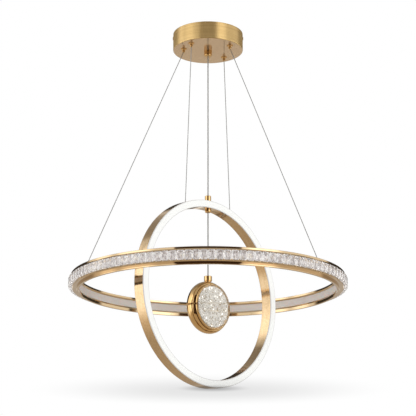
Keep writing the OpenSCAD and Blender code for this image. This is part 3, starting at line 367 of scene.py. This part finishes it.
def cut_crystal():
    """Clear glass with a milky part: greyer behind each table, with a painted highlight in white along the facets
    next to the joints, and a faint painted glow that is strongest there.
    """
    material, tree, shader = shader_of("cut_crystal", (0.985, 0.985, 0.985), 0.0, 0.0, Transmission_Weight=0.74,
                                       IOR=1.52, Emission_Strength=0.24)
    x, y = add(tree, "ShaderNodeSeparateXYZ", {0: object_place(tree)}).outputs[:2]
    turns = maths(tree, "MULTIPLY", maths(tree, "ARCTAN2", y, x), CRYSTAL_COUNT / (2 * math.pi))
    inside = maths(tree, "FRACT", maths(tree, "ADD", turns, CRYSTAL_COUNT))
    from_middle = maths(tree, "ABSOLUTE", maths(tree, "SUBTRACT", inside, 0.5))
    tint = rise(tree, stretched_noise(tree, (380, 380, 170), 2), 0.35, 0.65)
    table = mixed(tree, tint, (0.50, 0.455, 0.445), (0.96, 0.94, 0.93))
    # Painted highlight: the facets next to the joints are whitened.
    painted_highlight_facets = rise(tree, from_middle, 0.30, 0.38)
    feed(tree, shader, Base_Color=mixed(tree, painted_highlight_facets, table, (1.0, 1.0, 1.0)))
    # Painted glow over the whole crystal, stronger as a painted glint at the facets next to the joints.
    glint = maths(tree, "MULTIPLY", maths(tree, "MULTIPLY_ADD", painted_highlight_facets, 0.6, 0.25), tint)
    feed(tree, shader, Emission_Color=mixed(tree, glint, (0.08, 0.075, 0.075), (1.0, 1.0, 1.0)))
    return material


def lens_glass():
    """The clear lens over the crushed glass, with a trace of waviness."""
    material, tree, shader = shader_of("lens_glass", (0.99, 0.99, 0.99), 0.0, 0.0, Transmission_Weight=1.0, IOR=1.33)
    wave = stretched_noise(tree, (45, 45, 45), 2)
    feed(tree, shader, Base_Color=mixed(tree, wave, (0.97, 0.97, 0.97), (1.0, 1.0, 0.995)))
    return material


def crushed_crystal():
    """Milky splinters: some clear and bright, some grey, a few tinted golden as a painted reflection of the gold
    round them. A few shine as painted sparkles, and all have a faint painted glow.
    """
    material, tree, shader = shader_of("crushed_crystal", (0.8, 0.8, 0.8), 0.0, 0.06, Transmission_Weight=0.15,
                                       IOR=1.9, Emission_Strength=0.9)
    own = add(tree, "ShaderNodeAttribute", attribute_name="grain").outputs["Fac"]
    chips = add(tree, "ShaderNodeTexVoronoi", {"Vector": object_place(tree), "Scale": 460.0}).outputs["Color"]
    speckle = add(tree, "ShaderNodeRGBToBW", {0: chips}).outputs[0]
    grey = mixed(tree, rise(tree, speckle, 0.15, 0.6), (0.44, 0.405, 0.345), (1.0, 0.985, 0.945))
    # Painted reflection: a few splinters take the colour of the gold round them.
    with_painted_gold_reflection = mixed(tree, between(tree, own, 0.74, 0.86, 0.03), grey, (0.50, 0.38, 0.22))
    pale = mixed(tree, between(tree, own, 0.10, 0.34, 0.04), with_painted_gold_reflection, (1.0, 0.99, 0.97))
    feed(tree, shader, Base_Color=pale)
    # Painted sparkle: a few splinters glow white; the rest keep a faint painted glow.
    bright = rise(tree, own, 0.95, 0.965)
    feed(tree, shader, Emission_Color=mixed(tree, bright, (0.13, 0.122, 0.108), (1.0, 0.99, 0.96)))
    return material


FINISHES = {
    "canopy_brass": canopy_brass(),
    "polished_brass": polished_brass(),
    "hidden_brass": hidden_brass(),
    "gold_rail": gold_rail(),
    "gold_channel": gold_channel(),
    "steel_plate": steel_plate(),
    "screw_steel": screw_steel(),
    "driver_plastic": moulded("driver_plastic", (0.78, 0.78, 0.76), (0.86, 0.86, 0.84), 0.42),
    "terminal_plastic": moulded("terminal_plastic", (0.70, 0.70, 0.66), (0.80, 0.80, 0.76), 0.35),
    "suspension_wire": suspension_wire(),
    "clear_cable": clear_cable(),
    "led_strip": led_strip(),
    "ring_opal": ring_opal(),
    "hoop_opal": hoop_opal(),
    "disc_opal": disc_opal(),
    "cut_crystal": cut_crystal(),
    "lens_glass": lens_glass(),
    "crushed_crystal": crushed_crystal(),
}


def dress_cad_nodes():
    for name, node in NODES.items():
        slot = node.data.materials[0].name.split(".")[0]
        node.material_slots[0].material = FINISHES[slot]


dress_cad_nodes()


# Pieces

def make_piece(name, mesh, finish, body, *nodes, slot=None):
    """An object at the origin that stands for its CAD nodes and rides on their body. The slot is not used."""
    mesh.materials.clear()
    mesh.materials.append(FINISHES[finish])
    piece = bpy.data.objects.new(name, mesh)
    bpy.context.scene.collection.objects.link(piece)
    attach(piece, body)
    if nodes:
        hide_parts(*nodes)
    return piece


def new_tree(name, sizes):
    """A Geometry Nodes tree with a named input for each size, a whole number, a length or a vector, and its
    group input node."""
    tree = bpy.data.node_groups.new(name, "GeometryNodeTree")
    tree.interface.new_socket(name="Geometry", in_out="OUTPUT", socket_type="NodeSocketGeometry")
    for key, value in sizes.items():
        kind = "Int" if isinstance(value, int) else "Vector" if hasattr(value, "__len__") else "Float"
        tree.interface.new_socket(name=key, in_out="INPUT", socket_type="NodeSocket" + kind)
    return tree, tree.nodes.new("NodeGroupInput")


def grown_mesh(name, tree, last, sizes, finish):
    """Runs the tree with these sizes and returns the result as a plain mesh."""
    real = add(tree, "GeometryNodeRealizeInstances", {0: last})
    painted = add(tree, "GeometryNodeSetMaterial", {"Geometry": real.outputs[0], "Material": FINISHES[finish]})
    add(tree, "NodeGroupOutput", {0: painted.outputs[0]})
    holder = bpy.data.objects.new(name + "_holder", bpy.data.meshes.new(name + "_holder"))
    bpy.context.scene.collection.objects.link(holder)
    modifier = holder.modifiers.new(name, "NODES")
    modifier.node_group = tree
    for socket in tree.interface.items_tree:
        if socket.in_out == "INPUT":
            modifier[socket.identifier] = sizes[socket.name]
    bpy.context.view_layer.update()
    evaluated = holder.evaluated_get(bpy.context.evaluated_depsgraph_get())
    mesh = bpy.data.meshes.new_from_object(evaluated)
    mesh.name = name
    bpy.data.objects.remove(holder)
    return mesh


# Wires and cable

STRAND_LOBES = 6
STRAND_LAY = 11 * MM
STRAND_GROOVE = 0.05
STRAND_RING = 1.6 * MM
CABLE_LAY = 24 * MM
CABLE_GROOVE = 0.03


def strand_mesh(name, start, end, diameter, finish, groove, lay):
    """A straight twisted strand: a lobed section swept along a line that turns once in each lay."""
    length = (end - start).length
    sizes = {
        "Start": start, "End": end, "Radius": diameter / 2, "Groove": groove,
        "Turns": length / lay, "Rings": max(8, round(length / STRAND_RING)), "Section": 4 * STRAND_LOBES,
    }
    tree, given = new_tree(name, sizes)
    out = given.outputs
    line = add(tree, "GeometryNodeCurvePrimitiveLine", {"Start": out["Start"], "End": out["End"]})
    rings = add(tree, "GeometryNodeResampleCurve", {"Curve": line.outputs[0], "Count": out["Rings"]})
    along = add(tree, "GeometryNodeSplineParameter").outputs["Factor"]
    turns = maths(tree, "MULTIPLY", along, out["Turns"])
    tilt = maths(tree, "MULTIPLY", turns, 2 * math.pi)
    twisted = add(tree, "GeometryNodeSetCurveTilt", {"Curve": rings.outputs[0], "Tilt": tilt})
    section = add(tree, "GeometryNodeCurvePrimitiveCircle", {"Resolution": out["Section"], "Radius": out["Radius"]})
    around = add(tree, "GeometryNodeSplineParameter").outputs["Factor"]
    wave = maths(tree, "COSINE", maths(tree, "MULTIPLY", around, 2 * math.pi * STRAND_LOBES))
    dip = maths(tree, "MULTIPLY", maths(tree, "MULTIPLY_ADD", wave, 0.5, 0.5), out["Groove"])
    place = add(tree, "GeometryNodeInputPosition").outputs[0]
    pull = add(tree, "ShaderNodeVectorMath", {0: place, "Scale": maths(tree, "MULTIPLY", dip, -1.0)},
               operation="SCALE")
    lobed = add(tree, "GeometryNodeSetPosition", {"Geometry": section.outputs[0], "Offset": pull.outputs[0]})
    swept = add(tree, "GeometryNodeCurveToMesh", {
        "Curve": twisted.outputs[0], "Profile Curve": lobed.outputs[0], "Fill Caps": True})
    return grown_mesh(name, tree, swept.outputs[0], sizes, finish)


def hang_cord(name, start, end, diameter, finish, body, node, groove, lay):
    """A taut wire or cable from start, its fixed upper end, to end."""
    mesh = strand_mesh(name, start, end, diameter, finish, groove, lay)
    piece = make_piece(name, mesh, finish, body, node)
    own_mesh(piece)
    return piece


HOOP_WALL = 1.6 * MM
HOOP_STOP = 6.4 * MM


def hoop_wire_end(start, side):
    """The end of a hoop wire in its stop, on its own line past the hoop's outer wall."""
    angle = math.radians(HOOP_WIRE_ANGLE)
    yaw = math.radians(HOOP_YAW)
    reach = side * HOOP_R * math.sin(angle)
    wall = Vector((reach * math.cos(yaw), reach * math.sin(yaw), HOOP_Z + HOOP_R * math.cos(angle)))
    inside = HOOP_WALL / math.cos(angle) + HOOP_STOP
    return wall + (wall - start).normalized() * inside


def hang_wires():
    """The five wires from their grippers, and the cable's two stretches, above and below the hoop's collar."""
    for name, (radius, bearing) in GRIPPERS.items():
        start = polar(radius * MM, bearing, WIRE_START_Z)
        what, side = name.split("_")
        if what == "ring":
            end = polar(ANCHOR_R, ANCHOR_AZIMUTHS[side], WIRE_END_Z)
        else:
            end = hoop_wire_end(start, -1 if side == "left" else 1)
        node = f"{what}_wire_{side}"
        hang_cord(node + "_strand", start, end, WIRE_D, "suspension_wire", "canopy", node,
                  STRAND_GROOVE, STRAND_LAY)
    top, join, foot = (Vector((0, 0, z)) for z in (CABLE_TOP_Z, CABLE_JOIN_Z, CABLE_END_Z))
    hang_cord("cable_upper_jacket", top, join, CABLE_D, "clear_cable", "canopy",
              "cable_upper", CABLE_GROOVE, CABLE_LAY)
    hang_cord("cable_lower_jacket", join, foot, CABLE_D, "clear_cable", "hoop",
              "cable_lower", CABLE_GROOVE, CABLE_LAY)


hang_wires()


# Crystals

CRYSTAL_PITCH = 360 / CRYSTAL_COUNT
CRYSTAL_FIT = 0.2 * MM
CRYSTAL_MID_Z = (GROOVE_TOP_Z + GROOVE_BOTTOM_Z) / 2
CRYSTAL_HALF_H = (GROOVE_TOP_Z - GROOVE_BOTTOM_Z) / 2 - CRYSTAL_FIT
CRYSTAL_HEART_R = 294 * MM

# A step cut from back to front, in millimetres: radius, half width, how much the height is drawn in, cut corner.
CRYSTAL_STEPS = (
    (288.3, 2.2, 5.0, 0.6),
    (290.8, 4.8, 2.6, 1.2),
    (293.4, 6.5, 0.9, 1.6),
    (295.4, 7.42, 0.0, 1.9),
    (297.0, 7.5, 0.0, 1.9),
    (298.7, 6.7, 1.0, 1.6),
    (299.5, 6.0, 1.9, 1.4),
    (300.0, 5.2, 2.9, 1.1),
)


def octagon(radius, half_w, half_h, corner):
    """The eight corners of an upright rectangle with cut corners, on the +X axis."""
    outline = ((half_w - corner, half_h), (half_w, half_h - corner), (half_w, corner - half_h),
               (half_w - corner, -half_h), (corner - half_w, -half_h), (-half_w, corner - half_h),
               (-half_w, half_h - corner), (corner - half_w, half_h))
    return [(radius, y, CRYSTAL_MID_Z + z) for y, z in outline]


def facet_crystal():
    """One crystal: octagons of its cut joined by flat facets, with a table in front and a small culet behind."""
    points, faces = [], []
    for radius, half_w, drawn_in, corner in CRYSTAL_STEPS:
        points += octagon(radius * MM, half_w * MM, CRYSTAL_HALF_H - drawn_in * MM, corner * MM)
    last = 8 * (len(CRYSTAL_STEPS) - 1)
    for ring in range(0, last, 8):
        for i in range(8):
            j = (i + 1) % 8
            faces.append((ring + i, ring + 8 + i, ring + 8 + j, ring + j))
    faces.append(tuple(range(8)))
    faces.append(tuple(range(last + 7, last - 1, -1)))
    mesh = bpy.data.meshes.new("one_crystal")
    mesh.from_pydata(points, [], faces)
    return mesh


def face_out(mesh, centre):
    """Turns each face so that it looks away from the centre of its convex body."""
    for face in mesh.polygons:
        if face.normal.dot(face.center - centre) < 0:
            face.flip()


def lay_crystals():
    """Sets the crystal at each pitch round the ring."""
    crystal = facet_crystal()
    face_out(crystal, Vector((CRYSTAL_HEART_R, 0, CRYSTAL_MID_Z)))
    pattern = bpy.data.objects.new("one_crystal", crystal)
    bpy.context.scene.collection.objects.link(pattern)
    sizes = {"Count": CRYSTAL_COUNT, "Pitch": math.radians(CRYSTAL_PITCH)}
    tree, given = new_tree("crystal_row", sizes)
    spots = add(tree, "GeometryNodePoints", {"Count": given.outputs["Count"], "Position": (0, 0, 0)})
    index = add(tree, "GeometryNodeInputIndex").outputs[0]
    turn = maths(tree, "MULTIPLY", maths(tree, "ADD", index, 0.5), given.outputs["Pitch"])
    turned = add(tree, "ShaderNodeCombineXYZ", {2: turn})
    one = add(tree, "GeometryNodeObjectInfo", {"Object": pattern})
    row = add(tree, "GeometryNodeInstanceOnPoints", {
        "Points": spots.outputs[0], "Instance": one.outputs["Geometry"], "Rotation": turned.outputs[0]})
    mesh = grown_mesh("crystal_row", tree, row.outputs[0], sizes, "cut_crystal")
    bpy.data.objects.remove(pattern)
    make_piece("crystal_row", mesh, "cut_crystal", "crystal_ring", "ring_crystals")


lay_crystals()


# Crushed glass disc

FACE_R = 47.8 * MM
FACE_FOOT_W = 14.7 * MM
FACE_BACK_W = 10.6 * MM
FACE_BRIM_R = 48.3 * MM
FACE_BRIM_W = 18.3 * MM
FACE_EDGE_W = 18.5 * MM
FACE_DOME = 2.8 * MM
LENS_T = 0.9 * MM
LENS_STEPS = 22
LENS_SECTORS = 160
SHARP_ANGLE = 30


def disc_point(across, up, forward):
    """A point of the disc, given across its face, up and out of its lit front."""
    yaw = math.radians(DISC_YAW)
    return Vector((across * math.cos(yaw) + forward * math.sin(yaw),
                   across * math.sin(yaw) - forward * math.cos(yaw), DISC_Z + up))


def smooth_mesh(name, points, faces):
    """A mesh that is shaded smooth, but for its sharp edges."""
    mesh = bpy.data.meshes.new(name)
    mesh.from_pydata(points, [], faces)
    mesh.shade_smooth()
    mesh.set_sharp_from_angle(angle=math.radians(SHARP_ANGLE))
    return mesh


def turned_body(name, profile):
    """A closed body turned about the disc's axis from a profile of (radius, forward) that starts and ends on it."""
    points = [disc_point(0, 0, profile[0][1])]
    faces = []
    rings = profile[1:-1]
    for radius, forward in rings:
        for i in range(LENS_SECTORS):
            a = 2 * math.pi * i / LENS_SECTORS
            points.append(disc_point(radius * math.cos(a), radius * math.sin(a), forward))
    points.append(disc_point(0, 0, profile[-1][1]))
    end = len(points) - 1
    for k in range(len(rings) + 1):
        for i in range(LENS_SECTORS):
            j = (i + 1) % LENS_SECTORS
            here, there = 1 + (k - 1) * LENS_SECTORS, 1 + k * LENS_SECTORS
            if k == 0:
                faces.append((0, there + i, there + j))
            elif k == len(rings):
                faces.append((end, here + j, here + i))
            else:
                faces.append((here + j, here + i, there + i, there + j))
    return smooth_mesh(name, points, faces)


def turned_ring(name, profile):
    """A closed ring turned about the disc's axis from a loop of (radius, forward) that runs anticlockwise."""
    points, faces = [], []
    count = len(profile)
    for i in range(LENS_SECTORS):
        a = 2 * math.pi * i / LENS_SECTORS
        points += [disc_point(radius * math.cos(a), radius * math.sin(a), forward) for radius, forward in profile]
    for i in range(LENS_SECTORS):
        here, there = count * i, count * ((i + 1) % LENS_SECTORS)
        for k in range(count):
            n = (k + 1) % count
            faces.append((here + k, there + k, there + n, here + n))
    return smooth_mesh(name, points, faces)


def dome(radius, edge, height):
    """Half a dome's profile, from its top on the axis to its edge."""
    turns = [math.pi / 2 * k / LENS_STEPS for k in range(LENS_STEPS + 1)]
    return [(radius * math.sin(a), edge + height * math.cos(a)) for a in turns]


def lens_profile():
    """The clear lens: a domed front with a brim over the bezel, and a hollow back one wall behind it."""
    inner_r = FACE_R - LENS_T
    front = dome(FACE_BRIM_R, FACE_EDGE_W, FACE_DOME)
    side = [(FACE_BRIM_R, FACE_BRIM_W), (FACE_R, FACE_BRIM_W), (FACE_R, FACE_FOOT_W), (inner_r, FACE_FOOT_W)]
    back = dome(inner_r, FACE_EDGE_W - LENS_T, FACE_DOME)
    return front + side + back[::-1]


BED_R = 44.5 * MM
BED_EDGE_W = 16.1 * MM
BED_DOME = 1.95 * MM
GRAIN_SPACING = 2.7 * MM
GRAIN_SIZE = (1.3 * MM, 2.3 * MM)
GRAIN_DENSITY = 9e5
GRAIN_TURN = 6.28
GRAIN_SEED = 7
GRAIN_SHRINK = 0.72
# The corners of an icosahedron are set so that its edges are 2 long, and every other distance is over 3.
LONGEST_EDGE = 2.1


def grain_mesh():
    """An uneven splinter of glass with twenty facets, about one unit in radius."""
    random.seed(GRAIN_SEED)
    golden = (1 + math.sqrt(5)) / 2
    corners = []
    for a in (-1, 1):
        for b in (-golden, golden):
            corners += [(0, a, b), (a, b, 0), (b, 0, a)]
    places = [Vector(c).normalized() * random.uniform(GRAIN_SHRINK, 1.0) for c in corners]
    faces = []
    for i in range(12):
        for j in range(i + 1, 12):
            for k in range(j + 1, 12):
                edges = [(Vector(corners[p]) - Vector(corners[q])).length for p, q in ((i, j), (j, k), (k, i))]
                if max(edges) < LONGEST_EDGE:
                    faces.append((i, j, k))
    mesh = bpy.data.meshes.new("one_grain")
    mesh.from_pydata(places, [], faces)
    face_out(mesh, Vector((0, 0, 0)))
    return mesh


# The bezel's loop, in millimetres: a nearly upright band with a rounded shoulder, on the skirt in the shell.
BEZEL_LOOP = (
    (43.5, 7.2), (48.3, 7.2), (48.3, 13.7), (50.1, 13.75), (50.4, 14.0), (50.5, 14.5), (50.45, 15.2), (50.3, 15.9),
    (50.05, 16.6), (49.7, 17.2), (49.3, 17.7), (48.9, 18.05), (48.4, 18.2), (48.0, 18.2), (47.9, 17.9),
    (47.9, 14.4), (45.95, 14.0), (45.95, 10.55), (43.5, 10.55),
)


def set_bezel():
    loop = [(radius * MM, forward * MM) for radius, forward in BEZEL_LOOP]
    make_piece("bezel_band", turned_ring("bezel_band", loop), "polished_brass", "disc", "disc_bezel")


set_bezel()


def lay_crushed_disc():
    """A bed of pale glass under the lens, strewn with splinters at even distances."""
    lens = turned_body("disc_lens", lens_profile())
    make_piece("disc_lens", lens, "lens_glass", "disc", "disc_crystal", slot="crushed_crystal")
    bed = turned_body("bed", dome(BED_R, BED_EDGE_W, BED_DOME) + [(BED_R, FACE_BACK_W), (0, FACE_BACK_W)])
    holders = []
    for name, mesh in (("bed", bed), ("one_grain", grain_mesh())):
        holder = bpy.data.objects.new(name, mesh)
        bpy.context.scene.collection.objects.link(holder)
        holders.append(holder)
    middle = disc_point(0, 0, 0)
    sizes = {"Spacing": GRAIN_SPACING, "Smallest": GRAIN_SIZE[0], "Largest": GRAIN_SIZE[1],
             "Middle": middle, "Facing": disc_point(0, 0, 1) - middle, "Front": BED_EDGE_W}
    tree, given = new_tree("crushed_glass", sizes)
    ground = add(tree, "GeometryNodeObjectInfo", {"Object": holders[0]}).outputs["Geometry"]
    grain = add(tree, "GeometryNodeObjectInfo", {"Object": holders[1]}).outputs["Geometry"]
    spots = add(tree, "GeometryNodeDistributePointsOnFaces", {
        "Mesh": ground, "Distance Min": given.outputs["Spacing"], "Density Max": GRAIN_DENSITY},
        distribute_method="POISSON")
    place = add(tree, "GeometryNodeInputPosition").outputs[0]
    from_middle = add(tree, "ShaderNodeVectorMath", {0: place, 1: given.outputs["Middle"]}, operation="SUBTRACT")
    forward = add(tree, "ShaderNodeVectorMath", {0: from_middle.outputs[0], 1: given.outputs["Facing"]},
                  operation="DOT_PRODUCT").outputs["Value"]
    behind = maths(tree, "LESS_THAN", forward, given.outputs["Front"])
    spots = add(tree, "GeometryNodeDeleteGeometry", {"Geometry": spots.outputs["Points"], "Selection": behind},
                domain="POINT")
    turn = add(tree, "FunctionNodeRandomValue", {0: (0, 0, 0), 1: (GRAIN_TURN,) * 3, "Seed": 3},
               data_type="FLOAT_VECTOR")
    size = add(tree, "FunctionNodeRandomValue", {
        2: given.outputs["Smallest"], 3: given.outputs["Largest"], "Seed": 5}, data_type="FLOAT")
    strewn = add(tree, "GeometryNodeInstanceOnPoints", {
        "Points": spots.outputs[0], "Instance": grain, "Rotation": turn.outputs[0], "Scale": size.outputs[1]})
    shade = add(tree, "FunctionNodeRandomValue", {2: 0.0, 3: 1.0, "Seed": 11}, data_type="FLOAT")
    marked = add(tree, "GeometryNodeStoreNamedAttribute", {
        "Geometry": strewn.outputs[0], "Name": "grain", "Value": shade.outputs[1]},
        data_type="FLOAT", domain="INSTANCE")
    both = add(tree, "GeometryNodeJoinGeometry", {0: ground})
    tree.links.new(marked.outputs[0], both.inputs[0])
    mesh = grown_mesh("crushed_glass", tree, both.outputs[0], sizes, "crushed_crystal")
    for holder in holders:
        bpy.data.objects.remove(holder)
    make_piece("crushed_glass", mesh, "crushed_crystal", "disc", "disc_crystal")


lay_crushed_disc()


# Return springs

SPRING_TOP_Z = -28.05 * MM
SPRING_FOOT_Z = -33.95 * MM
SPRING_COIL_R = 3.2 * MM
SPRING_WIRE = 0.8 * MM
SPRING_TURNS = 4.2


def coil_springs():
    """A coil in each gripper."""
    for name, (radius, bearing) in GRIPPERS.items():
        sizes = {"Coil": SPRING_COIL_R, "Wire": SPRING_WIRE / 2, "Turns": SPRING_TURNS,
                 "Rise": SPRING_TOP_Z - SPRING_FOOT_Z - SPRING_WIRE,
                 "Place": polar(radius * MM, bearing, SPRING_FOOT_Z + SPRING_WIRE / 2)}
        tree, given = new_tree("coil_" + name, sizes)
        out = given.outputs
        coil = add(tree, "GeometryNodeCurveSpiral", {
            "Resolution": 28, "Rotations": out["Turns"], "Start Radius": out["Coil"], "End Radius": out["Coil"],
            "Height": out["Rise"]})
        section = add(tree, "GeometryNodeCurvePrimitiveCircle", {"Resolution": 10, "Radius": out["Wire"]})
        swept = add(tree, "GeometryNodeCurveToMesh", {
            "Curve": coil.outputs[0], "Profile Curve": section.outputs[0], "Fill Caps": True})
        placed = add(tree, "GeometryNodeTransform", {"Geometry": swept.outputs[0], "Translation": out["Place"]})
        mesh = grown_mesh("coil_" + name, tree, placed.outputs[0], sizes, "screw_steel")
        piece = make_piece("coil_" + name, mesh, "screw_steel", "canopy", "spring_" + name)
        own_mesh(piece)


coil_springs()


# Studio

# All places in the studio are directions in degrees: the bearing from the camera's side, and the height.
WHITE_LEVEL = 1.0
GLASS_WHITENESS = 0.7
AMBIENT = 0.58
BAND = (-17, 42, 7)
BAND_GAIN = 0.55
# Each softbox: bearing of its middle, half its width, its foot, how soft its foot and top are, and its gain.
SOFTBOXES = ((-63, 15, -14, 6, 1.0), (-96, 9, -22, 20, 0.8), (46, 14, -14, 6, 1.35))
SOFTBOX_TOP = 48
SOFTBOX_SIDE_SOFT = 6
CARD_EDGE = (28.0, 26.4)
CARD_HEIGHTS = (-27, 44, 1.5)
CARD_DARK = 0.935


def looking(tree):
    """The bearing and height of the direction in which the world is seen."""
    towards = add(tree, "ShaderNodeTexCoord").outputs["Generated"]
    x, y, z = add(tree, "ShaderNodeSeparateXYZ", {0: towards}).outputs
    degrees = 180 / math.pi
    bearing = maths(tree, "MULTIPLY", maths(tree, "ARCTAN2", x, maths(tree, "MULTIPLY", y, -1.0)), degrees)
    height = maths(tree, "MULTIPLY", maths(tree, "ARCSINE", z), degrees)
    return bearing, height


def rear_shade(tree, aside, height):
    """How much darker the rear is: most above the horizon, half as much high up and just below it."""
    high = maths(tree, "MULTIPLY", rise(tree, height, 36, 42), 0.45)
    low = maths(tree, "MULTIPLY", between(tree, height, -17, -4, 2), 0.5)
    level = maths(tree, "MULTIPLY", between(tree, height, 2, 37, 4), 0.95)
    dimmed = maths(tree, "ADD", maths(tree, "MAXIMUM", high, level), low)
    return maths(tree, "MULTIPLY", rise(tree, aside, 112, 121), dimmed)


def build_studio():
    """A soft studio given by direction: a bright band round the horizon, three softboxes at the sides, a dark card
    behind the camera and a darker rear. The camera sees plain white."""
    world = bpy.data.worlds.new("studio")
    bpy.context.scene.world = world
    world.use_nodes = True
    tree = world.node_tree
    tree.nodes.clear()
    bearing, height = looking(tree)
    aside = maths(tree, "ABSOLUTE", bearing)
    light = maths(tree, "MULTIPLY_ADD", between(tree, height, *BAND), BAND_GAIN, AMBIENT)
    for middle, half, foot, soft, gain in SOFTBOXES:
        box = maths(tree, "MULTIPLY", between(tree, bearing, middle - half, middle + half, SOFTBOX_SIDE_SOFT),
                    between(tree, height, foot, SOFTBOX_TOP, soft))
        light = maths(tree, "ADD", light, maths(tree, "MULTIPLY", box, gain))
    wider = maths(tree, "SUBTRACT", aside, maths(tree, "MULTIPLY", rise(tree, height, 6, -2), 1.6))
    card = maths(tree, "MULTIPLY", rise(tree, wider, *CARD_EDGE), between(tree, height, *CARD_HEIGHTS))
    rear = rear_shade(tree, aside, height)
    light = maths(tree, "MULTIPLY", light, maths(tree, "SUBTRACT", 1.0, maths(tree, "MULTIPLY", card, CARD_DARK)))
    light = maths(tree, "MULTIPLY", light, maths(tree, "SUBTRACT", 1.0, rear))
    dim = maths(tree, "MAXIMUM", rear, rise(tree, height, -12, -26))
    tone = mixed(tree, card, mixed(tree, dim, (1, 0.985, 0.965), (1, 0.86, 0.70)), (1, 0.56, 0.30))
    studio = add(tree, "ShaderNodeBackground", {"Color": tone, "Strength": light})
    white = add(tree, "ShaderNodeBackground", {"Color": (1, 1, 1, 1), "Strength": WHITE_LEVEL})
    path = add(tree, "ShaderNodeLightPath").outputs
    through = maths(tree, "MULTIPLY", path["Is Transmission Ray"], GLASS_WHITENESS)
    seen = maths(tree, "MAXIMUM", path["Is Camera Ray"], through)
    both = add(tree, "ShaderNodeMixShader", {0: seen, 1: studio.outputs[0], 2: white.outputs[0]})
    add(tree, "ShaderNodeOutputWorld", {0: both.outputs[0]})


FLOOR_Z = -0.8035
FLOOR_HALF = 3.0
# The soft shadow under the hoop, in metres: centre across and back, half width, half depth, how dark.
SHADOWS = ((0.006, 0.020, 0.40, 0.27, 0.21), (0.010, -0.016, 0.085, 0.065, 0.45))


def floor_material():
    """Pale from above. From below it is clear, but for the soft grey shadow under the hoop."""
    material = bpy.data.materials.new("pale_floor")
    material.use_nodes = True
    tree = material.node_tree
    tree.nodes.clear()
    place = object_place(tree)
    clearness = 1.0
    for x, y, half_w, half_d, dark in SHADOWS:
        mapping = add(tree, "ShaderNodeMapping", {
            "Vector": place, "Location": (-x / half_w, -y / half_d, 0), "Scale": (1 / half_w, 1 / half_d, 0)})
        away = add(tree, "ShaderNodeVectorMath", {0: mapping.outputs[0]}, operation="LENGTH").outputs["Value"]
        shade = maths(tree, "MULTIPLY", rise(tree, away, 1.0, 0.1), dark)
        clearness = maths(tree, "MULTIPLY", maths(tree, "SUBTRACT", 1.0, shade), clearness)
    grey = mixed(tree, clearness, (0, 0, 0), (1, 1, 1))
    top = add(tree, "ShaderNodeBsdfDiffuse", {"Color": (0.90, 0.90, 0.895, 1)})
    clear = add(tree, "ShaderNodeBsdfTransparent", {"Color": grey})
    below = add(tree, "ShaderNodeNewGeometry").outputs["Backfacing"]
    both = add(tree, "ShaderNodeMixShader", {0: below, 1: top.outputs[0], 2: clear.outputs[0]})
    add(tree, "ShaderNodeOutputMaterial", {0: both.outputs[0]})
    return material


def lay_floor():
    """A floor just under the hoop, which neither brass nor glass reflects."""
    mesh = bpy.data.meshes.new("floor")
    h = FLOOR_HALF
    mesh.from_pydata([(-h, -h, FLOOR_Z), (h, -h, FLOOR_Z), (h, h, FLOOR_Z), (-h, h, FLOOR_Z)], [], [(0, 1, 2, 3)])
    mesh.materials.append(floor_material())
    floor = bpy.data.objects.new("floor", mesh)
    bpy.context.scene.collection.objects.link(floor)
    floor.visible_glossy = False
    floor.visible_transmission = False


LAMP_SIZE = 1.6
LAMP_WATTS = 14
LAMP_PLACE = (-0.5, -0.9, 1.6)
LAMP_TURN = (25, -12, 0)


def hang_lamp():
    data = bpy.data.lights.new("soft_lamp", "AREA")
    data.size = LAMP_SIZE
    data.energy = LAMP_WATTS
    lamp = bpy.data.objects.new("soft_lamp", data)
    lamp.location = LAMP_PLACE
    lamp.rotation_euler = [math.radians(angle) for angle in LAMP_TURN]
    lamp.visible_glossy = False
    lamp.visible_transmission = False
    bpy.context.scene.collection.objects.link(lamp)


build_studio()
lay_floor()
hang_lamp()

bpy.context.scene.view_settings.view_transform = "Standard"

bpy.context.view_layer.update()
